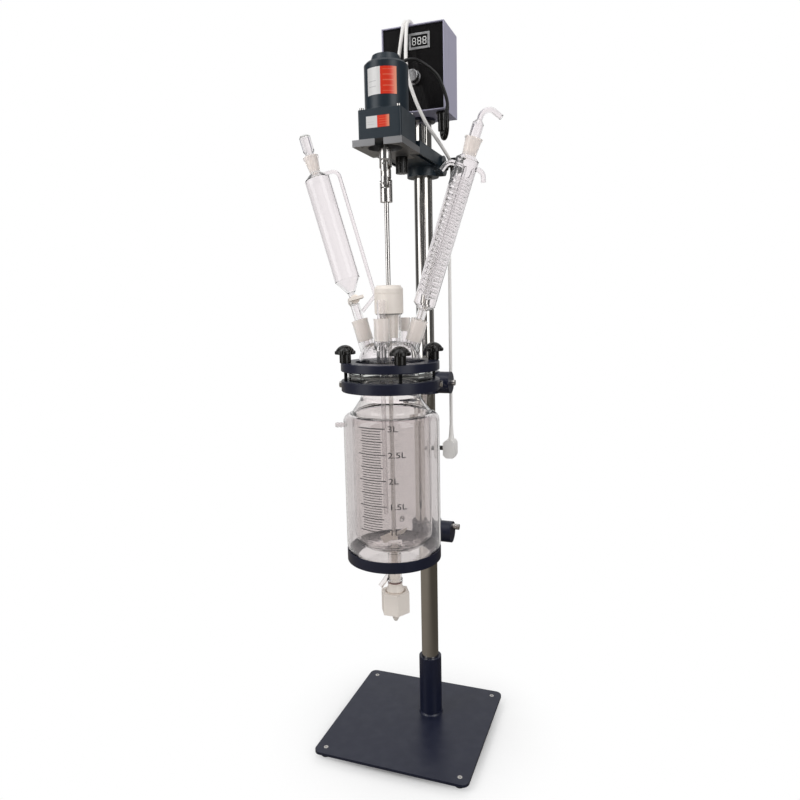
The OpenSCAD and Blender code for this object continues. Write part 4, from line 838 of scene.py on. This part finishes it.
@dataclass
class Studio:
    """The camera, the pale floor, soft lamps and plain white surroundings."""

    eye: Triple = (0.44508, -1.25864, 0.89637)
    pitch: float = 8.288
    yaw: float = 20.117
    roll: float = -1.196
    lens: float = 30.29
    sensor: float = 36.0
    bounces: int = 28
    floor_z: float = -0.0112
    sky: float = 0.66
    window: float = 2.3
    behind: float = 0.55
    on_glass: float = 0.28
    dark: float = 0.10
    side_windows: tuple[Pair, ...] = ((-47.0, -17.0), (-150.0, -118.0))
    rear_window: Pair = (70.0, 150.0)
    overhead: Pair = (0.55, 0.8)
    band_turn: float = 110.0
    band: float = 0.17
    warm: Triple = (1.10, 1.06, 1.075)
    pale_to_white: Pair = (0.10, 0.33)
    mirror_left: Triple = (0.25, 0.225, 0.195)
    mirror_right: Triple = (0.085, 0.077, 0.065)
    to_matt: Triple = (0.30, 0.30, 0.30)
    aim: Triple = (0.02, -0.05, 0.65)
    lamps: tuple[tuple[str, Triple, float, float], ...] = (
        ("key", (-1.5, -1.7, 2.3), 28.0, 1.5),
        ("fill", (1.9, -1.1, 1.5), 12.0, 1.6),
        ("back", (-0.4, 2.0, 2.2), 12.0, 1.6))

    def camera(self) -> None:
        """Sets the camera. Its axes are the level ones turned by the roll."""
        pitch, yaw, roll = (math.radians(v) for v in (self.pitch, self.yaw, self.roll))
        ahead = Vector((-math.sin(yaw) * math.cos(pitch), math.cos(yaw) * math.cos(pitch), -math.sin(pitch)))
        level = Vector((math.cos(yaw), math.sin(yaw), 0.0))
        over = level.cross(ahead)
        right = math.cos(roll) * level + math.sin(roll) * over
        up = -math.sin(roll) * level + math.cos(roll) * over
        data = bpy.data.cameras.new("camera")
        data.lens, data.sensor_width = self.lens, self.sensor
        camera = bpy.data.objects.new("camera", data)
        turn = Matrix((right, up, -ahead)).transposed().to_4x4()
        camera.matrix_world = Matrix.Translation(self.eye) @ turn
        bpy.context.collection.objects.link(camera)
        bpy.context.scene.camera = camera

    def lamp(self, name: str, spot: Triple, power: float, size: float) -> None:
        """Hangs one soft square lamp that looks at the reactor's middle.

        Args:
            name: the lamp's name.
            spot: where it hangs.
            power: watts.
            size: the side of the square.
        """
        data = bpy.data.lights.new(name, "AREA")
        data.energy, data.size = power, size
        lamp = bpy.data.objects.new(name, data)
        toward = Vector(self.aim) - Vector(spot)
        lamp.matrix_world = Matrix.Translation(spot) @ toward.to_track_quat("-Z", "Y").to_matrix().to_4x4()
        lamp.visible_glossy = False
        lamp.visible_transmission = False
        bpy.context.collection.objects.link(lamp)

    def surroundings(self) -> None:
        """Lights the world.

        The camera sees plain white. Light that glass bends sees a warm white with soft grey bands between
        the four sides, which draw the rims. Gloss sees bright windows with dark between them, or pale grey
        where it is glass that mirrors. Diffuse surfaces see one plain level.
        """
        world = bpy.data.worlds.new("surroundings")
        bpy.context.scene.world = world
        sheet = Sheet(world)
        x, y, z = sheet.axes(sheet.node("ShaderNodeTexCoord").outputs["Generated"])
        turn = y.maths("ARCTAN2", y, x) * (180 / math.pi)
        left, right = (turn.within(*window, 3.0) for window in self.side_windows)
        windows = left.largest(right)
        rear = turn.within(*self.rear_window, 6.0).largest(z.rise(*self.overhead))
        windows = windows * self.window + rear * self.behind
        path = sheet.node("ShaderNodeLightPath")
        gleam = windows + self.dark + Value(sheet, path.outputs["Is Singular Ray"]) * self.on_glass
        wave = turn.maths("COSINE", (turn - self.band_turn) * (4 * math.pi / 180))
        bent = wave * self.band + (1 - self.band)
        kinds = ("Is Camera Ray", "Is Glossy Ray", "Is Transmission Ray")
        seen, gloss, through = (Value(sheet, path.outputs[kind]) for kind in kinds)
        plain = gloss * gleam + (1 - gloss) * self.sky
        strength = seen + (1 - seen) * (through * bent + (1 - through) * plain)
        tone = sheet.mix((1 - seen) * through, (1.0, 1.0, 1.0), self.warm)
        sheet.end(sheet.node("ShaderNodeBackground", None, {0: tone, 1: strength}).outputs[0])

    def floor(self) -> None:
        """Lays the floor: pale where the shadow falls, plain white further off, and dim to gloss and matt."""
        side = np.linspace(-7.0, 7.0, 29)
        x, y = np.meshgrid(side, side)
        piece = skin("floor", np.stack([x, y, np.full_like(x, self.floor_z)], -1), wrap=False, lids=False)
        material = bpy.data.materials.new("floor")
        sheet = Sheet(material)
        place = sheet.place()
        away = sheet.measure("LENGTH", sheet.vector("MULTIPLY", place, (1.0, 1.0, 0.0)))
        path = sheet.node("ShaderNodeLightPath")
        seen, gloss = (Value(sheet, path.outputs[n]) for n in ("Is Camera Ray", "Is Glossy Ray"))
        tone = sheet.noise(3.0, 3.0) * 0.02 + 0.93
        matt = sheet.node("ShaderNodeBsdfPrincipled", None, {
            "Base Color": sheet.mix(tone, (0.0, 0.0, 0.0), (1.0, 1.0, 1.0)),
            "Roughness": 0.8, "Specular IOR Level": 0.1,
            "Normal": sheet.bump(sheet.noise(150.0, 2.0), 0.0001)})
        plain = sheet.blend(away.rise(*self.pale_to_white), matt.outputs[0], sheet.glow((1.0, 1.0, 1.0, 1.0)))
        right = sheet.measure("DOT_PRODUCT", place, (0.94, 0.34, 0.0)).rise(-0.5, 0.5)
        mirrored = sheet.mix(right, self.mirror_left, self.mirror_right)
        dim = sheet.glow(sheet.mix(gloss, self.to_matt, mirrored))
        bent = Value(sheet, path.outputs["Transmission Depth"]) > 0.5
        direct = seen.largest(bent).largest(Value(sheet, path.outputs["Is Singular Ray"]) * 0.4)
        sheet.end(sheet.blend(direct, dim, plain))
        piece.data.materials.append(material)

    def build(self) -> None:
        """Sets the view, the camera, the lamps, the world and the floor."""
        scene = bpy.context.scene
        scene.view_settings.view_transform = "Standard"
        for limit in ("max_bounces", "transmission_bounces", "transparent_max_bounces"):
            setattr(scene.cycles, limit, self.bounces)
        self.camera()
        for lamp in self.lamps:
            self.lamp(*lamp)
        self.surroundings()
        self.floor()
        LOG.info("studio ready")


# ---------------------------------------------------------------------------------------------------
# The reactor


@dataclass
class Cords:
    """The white mains cord with its plug, and the motor's black cable, each with tapered reliefs."""

    mains_d: float = 0.0065
    motor_d: float = 0.006
    mains_sleeve: Pair = (0.0058, 0.0038)
    plug_sleeve: Pair = (0.0046, 0.0038)
    motor_sleeve: Pair = (0.0052, 0.0035)
    sleeve_l: float = 0.026
    plug_sleeve_l: float = 0.014
    groove_step: float = 0.003
    groove: float = 0.11

    def mains_route(self) -> np.ndarray:
        """Returns the mains cord's line: out of the gland, twice over the box and down to the plug."""
        stations = [
            (-10, 25, 1224), (-10, 25, 1210), (-10, 19, 1188), (-10, -6, 1176), (-9, -31, 1189),
            (-6, -37, 1235), (1, -34, 1290), (12, -25, 1374), (13, -17, 1393), (13.2, 0, 1400),
            (13.2, 28, 1397), (12.6, 58, 1400), (11, 76, 1393), (7, 84, 1374), (-5, 87, 1330),
            (-12, 87, 1286), (-8, 87, 1254), (14, 87, 1238), (36, 87, 1254), (40, 87, 1286),
            (33, 87, 1330), (25, 84, 1374), (22, 76, 1393), (20, 58, 1400), (20, 28, 1397),
            (20, 0, 1400), (20, -17, 1393), (20, -25, 1374), (26, -45, 1308), (38, -45, 1261),
            (56, -36, 1216), (69, -12, 1190), (74, 15, 1177), (79.5, 50, 1157), (78, 65, 1133),
            (73, 71, 1080), (70, 72, 1020), (70, 72, 890), (70, 72, 760), (70, 72, 620)]
        return flowing([above(*p) for p in stations], 8)

    def motor_route(self) -> np.ndarray:
        """Returns the motor cable's line, from the box's side connector to the can's rear."""
        turn = math.radians(76.5)
        way = np.array([math.cos(turn), math.sin(turn), 0.0])
        start, end = np.array([93.89, -23.12, 1212.5]), np.array([31.96, -117.02, 1286.0])
        stations = [
            start, start + (0, 0, 14), (96, -25, 1244), (91, -30, 1266), (82, -37, 1288),
            (66, -46, 1304), (52, -60, 1311), (43, -78, 1308), (37, -94, 1300),
            end + 14 * way, end + 7 * way, end]
        return flowing([above(*p) for p in stations], 10)

    def relief(self, name: str, path: np.ndarray, radii: Pair, slot: str,
               long: float) -> Piece:
        """Makes a ribbed sleeve that narrows along the start of a cord.

        The radius falls in a straight line, and a groove takes a share of it once every groove_step.

        Args:
            name: the piece's name.
            path: the cord's line, from the end that the sleeve is on.
            radii: the radius at the housing and at the sleeve's tip.
            slot: its finish.
            long: its length.

        Returns:
            The sleeve.
        """
        wide, thin = radii
        run = np.concatenate([[0.0], np.cumsum(np.linalg.norm(np.diff(path, axis=0), axis=1))])
        along = np.linspace(0.0, long, 53)
        line = np.stack([np.interp(along, run, path[:, k]) for k in range(3)], 1)
        share = along / long
        cut = (np.cos(along / self.groove_step * 2 * math.pi) < -0.2) * (share > 0.1) * (share < 0.92)
        radius = (wide + (thin - wide) * share) * (1 - self.groove * cut)
        return settle(skin(name, rings(line, radius, 28)), slot)

    def build(self) -> None:
        mains, motor = self.mains_route(), self.motor_route()
        cord = settle(skin("mains_flex", rings(mains, self.mains_d / 2, 20)), "cord_white")
        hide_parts("mains_cord")
        reliefs = [
            self.relief("mains_relief", mains, self.mains_sleeve, "black_plastic", self.sleeve_l),
            self.relief("plug_relief", mains[::-1], self.plug_sleeve, "cord_white", self.plug_sleeve_l)]
        cable = settle(skin("motor_flex", rings(motor, self.motor_d / 2, 20)), "cable_black")
        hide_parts("motor_cable")
        sleeves = [self.relief(name, line, self.motor_sleeve, "cable_black", self.sleeve_l)
                   for name, line in (("connector_relief", motor), ("motor_relief", motor[::-1]))]
        ease(("mains_plug",), Edge.ROUND, 3)
        ease(("cord_gland", "cable_connector"), Edge.FINE)
        LOG.info("mains cord %.3f m, motor cable %.3f m", length_of(mains), length_of(motor))


class Stand:
    """The base plate on its feet, the column, the rings with their bossheads and the clamp screws."""

    def build(self) -> None:
        """Dresses the stand's CAD pieces."""
        ease(("base_plate", "column_socket", "lower_ring", "flange_ring", "lid_ring"), Edge.BROKEN, 3)
        ease(("lower_bosshead", "upper_bosshead", "box_mount"), Edge.ROUND, 3)
        ease(("lower_clamp_screw", "upper_clamp_screw", "bracket_screw", "foot_screws",
              "fixing_screws"), Edge.FINE)
        ease(("rubber_feet",), Edge.BROKEN)


@dataclass
class ScalePrint:
    """The litre scale on the inner vessel: marks every 50 ml and a number at each half litre."""

    wall_r: float = 0.07018
    low_z: float = 0.500
    step: float = 0.0045
    count: int = 40
    middle: float = -100.4
    reach: Triple = (22.0, 18.0, 15.3)
    heavy: float = 1.13
    light: float = 0.87
    number_at: float = -75.5
    text_size: float = 0.0142
    stretch: float = 1.28
    line_w: float = 0.0015
    ink_proud: float = 0.0002
    centre: float = 0.36

    def marks(self) -> None:
        """Prints the marks as one piece.

        Mark k lies k steps above the lowest, and each is a strip bent round the wall. The first reach is
        the degrees to a side of each tenth one, the second of each fifth and the third of the rest.
        """
        k = np.arange(self.count + 1)
        tenth, fifth, other = self.reach
        reach = np.where(k % 10 == 0, tenth, np.where(k % 5 == 0, fifth, other))
        width = self.line_w * np.where(k % 5 == 0, self.heavy, self.light)
        turn = np.radians(self.middle + reach[:, None] * np.linspace(-1, 1, 13)[None, :])
        z = PLATE_T + self.low_z + self.step * k
        rows = z[:, None] + width[:, None] * np.array([-0.5, 0.5])[None, :]
        points = around(VESSEL, self.wall_r, turn[:, None, :], rows[..., None])
        strips = [skin(f"mark_{i}", strip, wrap=False, lids=False) for i, strip in enumerate(points)]
        settle(join("scale_marks", strips), "scale_ink")

    def number(self, text: str, z: float) -> Piece:
        """Prints one number, bent round the wall: across becomes turn, up stays up.

        Args:
            text: the number and its litre sign.
            z: the height of its mark.

        Returns:
            The printed number.
        """
        data = bpy.data.curves.new(text, "FONT")
        data.body, data.size, data.offset = text, self.text_size, 0.0001
        words = bpy.data.objects.new(text, data)
        bpy.context.collection.objects.link(words)
        mesh = bpy.data.meshes.new_from_object(words)
        bpy.data.objects.remove(words)
        flat = np.zeros(len(mesh.vertices) * 3)
        mesh.vertices.foreach_get("co", flat)
        flat = flat.reshape(-1, 3)
        turn = math.radians(self.number_at) + flat[:, 0] * self.stretch / self.wall_r
        high = z + flat[:, 1] - self.text_size * self.centre
        bent = around(VESSEL, self.wall_r + self.ink_proud, turn, high)
        mesh.vertices.foreach_set("co", bent.ravel())
        return shown(f"number_{text}", mesh, smooth=False)

    def build(self) -> None:
        """Prints the marks and the five numbers."""
        self.marks()
        numbers = [self.number(text, PLATE_T + self.low_z + self.step * 10 * k)
                   for k, text in enumerate(("1L", "1.5L", "2L", "2.5L", "3L"))]
        settle(join("scale_numbers", numbers), "scale_ink")


@dataclass
class Vessel:
    """The jacketed vessel with its lid, clamp studs and star knobs, and the drain valve."""

    stud_r: float = 0.0031
    stud_at: float = 0.079
    stud_z: Pair = (0.7632, 0.7788)
    stud_pitch: float = 0.001
    first_stud: float = 33.0

    def studs(self) -> None:
        """Cuts the threads of the four studs where they show between the rings."""
        low, high = self.stud_z
        feet = around(VESSEL, self.stud_at, np.radians(self.first_stud + 90 * np.arange(4)), low)
        threads = [thread(f"stud_{k}", foot, self.stud_r, high - low, self.stud_pitch)
                   for k, foot in enumerate(feet)]
        settle(join("stud_threads", threads), "black_steel")

    def build(self) -> None:
        """Dresses the vessel's CAD pieces and adds the print and the threads."""
        ScalePrint().build()
        self.studs()
        ease(("lid_knob_1", "lid_knob_2", "lid_knob_3", "lid_knob_4"), Edge.BROKEN, 3)
        ease(("flat_gaskets", "lid_studs", "drain_body"), Edge.FINE)
        ease(("drain_knob",), Edge.BROKEN, 3)


@dataclass
class Glassware:
    """The funnel, the condenser with its spiral, the adapter and the well. Its sizes are millimetres."""

    coil_r: float = 13.4
    tube_r: float = 3.0
    bore_r: float = 2.1
    turns: int = 21
    cuts: int = 16
    pitch: float = 9.5
    low: float = 42.0
    start: float = 50.0
    hose_z: float = 259.0
    bore: float = 17.0
    entry_turn: float = 15.0

    def spiral_line(self) -> np.ndarray:
        """Returns the spiral's centreline in millimetres above the right neck's rim, before its turn.

        It comes in at the wall, winds down at one pitch a turn, and goes back up the middle.
        """
        def level(r: float, turn: Span, z: Span) -> np.ndarray:
            """Returns points at a radius, at turns in degrees and at heights."""
            return around(np.zeros(3), r, np.radians(turn), z)
        top = self.low + self.pitch * self.turns
        lead = [(self.bore - 1.8, 0, self.hose_z - 1.2), (self.bore - 3.1, 0, self.hose_z - 3.2),
                level(self.coil_r, 0, self.hose_z - 6), level(self.coil_r, 5, top + 8),
                level(self.coil_r, 18, top + 4), level(self.coil_r, 35, top + 1.4)]
        step = np.arange(self.cuts * self.turns + 1) / self.cuts
        wound = level(self.coil_r, self.start + 360 * step, top - self.pitch * step)
        tail = [level(self.coil_r * 0.7, self.start + 30, self.low - 4),
                level(self.coil_r * 0.25, self.start + 40, self.low - 4),
                *((0, 0, self.low + h) for h in (3, 60, 120)), (0, 0, self.hose_z - 8),
                (-2, 0, self.hose_z - 3), (-7, 0, self.hose_z), (0.5 - self.bore, 0, self.hose_z)]
        return flowing([*lead, *wound, *tail], 2)

    def to_neck(self, points: np.ndarray, turn: float) -> np.ndarray:
        """Turns points about the right neck's axis, leans them and moves them to the neck.

        Args:
            points: n by 3, in millimetres above the neck's rim.
            turn: degrees about the neck's axis.

        Returns:
            The points in metres in the row frame.
        """
        c, s = math.cos(math.radians(turn)), math.sin(math.radians(turn))
        x, y, z = points.T
        x, y, z = x * c - y * s, x * s + y * c, z + NECK_L
        cl, sl = math.cos(LEAN[1]), math.sin(LEAN[1])
        return np.stack([x * cl + z * sl, y, z * cl - x * sl], 1) / 1000 + neck_foot(1)

    def spiral(self) -> None:
        """Makes the condenser's spiral as a hollow tube, which stands for the CAD one.

        The outside and the bore are two grids about one line. The bore's rings run the other way, so that
        both face away from the glass. A ring of faces joins them at each end, and the double points of the
        first and last ring are merged.
        """
        path = self.to_neck(self.spiral_line(), self.entry_turn)
        outer, inner = (rings(path, r / 1000, 14) for r in (self.tube_r, self.bore_r))
        spiral = skin("spiral", np.concatenate([outer, inner[::-1], outer[:1]], 0), lids=False)
        work = bmesh.new()
        work.from_mesh(spiral.data)
        bmesh.ops.remove_doubles(work, verts=work.verts, dist=0.0000001)
        work.to_mesh(spiral.data)
        work.free()
        settle(spiral, "spiral_glass")
        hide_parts("condenser_coil")

    def build(self) -> None:
        """Makes the spiral and gives the thin glass its own finish."""
        self.spiral()
        for name in THIN_GLASS:
            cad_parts[name].material_slots[0].material = bpy.data.materials["thin_glass"]
        ease(("stopcock_key",), Edge.FINE)


@dataclass
class StirrerDrive:
    """The gear motor on its bracket, the joints, the shaft with its seal and the blade."""

    can_r: float = 0.0370
    can_turn: Pair = (-124.0, -42.5)
    can_z: Pair = (1.2315, 1.2740)
    case_x: Pair = (0.0023, 0.0430)
    case_y: float = -0.184
    case_z: Pair = (1.1800, 1.1985)
    can_proud: float = 0.00025
    case_proud: float = 0.00015

    def can_label(self) -> None:
        """Bends a label round the can, between two turns in degrees and two heights."""
        turn, z = np.meshgrid(np.radians(np.linspace(*self.can_turn, 41)), np.linspace(*self.can_z, 9))
        grid = around(MOTOR, self.can_r + self.can_proud, turn, z)
        settle(skin("can_label", grid, wrap=False, lids=False), "label_print")

    def case_label(self) -> None:
        """Lays the flat label on the gearbox's front."""
        x, z = np.linspace(*self.case_x, 9), np.linspace(*self.case_z, 7)
        settle(front("case_label", x, z, self.case_y - self.case_proud), "label_print")

    def build(self) -> None:
        """Adds the labels and dresses the drive's CAD pieces."""
        self.can_label()
        self.case_label()
        ease(("motor_bracket", "gearbox_case", "motor_can", "motor_end_cap"), Edge.BROKEN, 3)
        ease(("motor_plate", "bracket_knob", "seal_body", "seal_cap"), Edge.BROKEN)
        ease(("output_shaft", "upper_yoke", "middle_yoke", "lower_yoke", "joint_crosses", "stirrer_shaft",
              "stirrer_blade"), Edge.FINE)


@dataclass
class ControlBox:
    """The speed control box: its folded case, the sunk panel, the display and the knob."""

    window_y: float = -0.0122
    window: Pair = (0.0318, 0.0198)
    display_x: float = 0.0405
    display_z: float = 1.367
    digit_w: float = 0.0058
    digit_h: float = 0.0115
    digit_step: float = 0.0100
    stroke: float = 0.00125
    segment_gap: float = 0.0006
    print_proud: float = 0.0002

    def bar(self, middle: Pair, size: Pair) -> Piece:
        """Makes one printed segment that faces the front, its ends drawn in to a point.

        Args:
            middle: x and z.
            size: its width and height.

        Returns:
            The segment, 3 rows of 7 points, or 7 rows of 3 if it stands upright.
        """
        u, v = np.meshgrid(np.linspace(-0.5, 0.5, 7), np.linspace(-0.5, 0.5, 3))
        taper = np.minimum(1.0, (0.5 - np.abs(u)) * max(size) / (0.5 * min(size)) + 0.02)
        along, across = u * max(size), v * min(size) * taper
        x, z = (along, across) if size[0] > size[1] else (across.T, along.T)
        grid = np.stack([middle[0] + x, np.full_like(x, self.window_y - self.print_proud), middle[1] + z], -1)
        return skin("bar", grid, wrap=False, lids=False)

    def digits(self) -> None:
        """Lights three figures of seven segments each, so that they read 888."""
        bars = []
        half = self.digit_h / 2
        for k in (-1, 0, 1):
            x = self.display_x + k * self.digit_step
            for z in (self.display_z + half, self.display_z, self.display_z - half):
                bars.append(self.bar((x, z), (self.digit_w, self.stroke)))
            for side in (-1, 1):
                for up in (-1, 1):
                    spot = (x + side * self.digit_w / 2, self.display_z + up * half / 2)
                    bars.append(self.bar(spot, (self.stroke, half - self.segment_gap)))
        settle(join("display_digits", bars), "lit_segments")

    def pane(self) -> None:
        """Lays the display's dark window, a flat grid at the bottom of the frame."""
        steps = np.linspace(-0.5, 0.5, 5)
        x, z = self.display_x + steps * self.window[0], self.display_z + steps * self.window[1]
        settle(front("display_pane", x, z, self.window_y), "display_window")

    def build(self) -> None:
        """Dresses the box's CAD pieces and adds the window and its figures."""
        self.pane()
        self.digits()
        ease(("control_box", "front_panel"), Edge.BROKEN)
        ease(("display", "control_board"), Edge.FINE)
        ease(("speed_knob",), Edge.BROKEN)


def main() -> None:
    """Builds the studio and the reactor in order."""
    logging.basicConfig(level=logging.INFO, format="%(message)s")
    for finish in FINISHES:
        finish.apply()
        LOG.info("finish %s", finish.slot)
    for part in (Studio(), Cords(), Stand(), Vessel(), Glassware(), StirrerDrive(), ControlBox()):
        part.build()
        LOG.info("%s built", type(part).__name__)


if __name__ == "__main__":
    main()
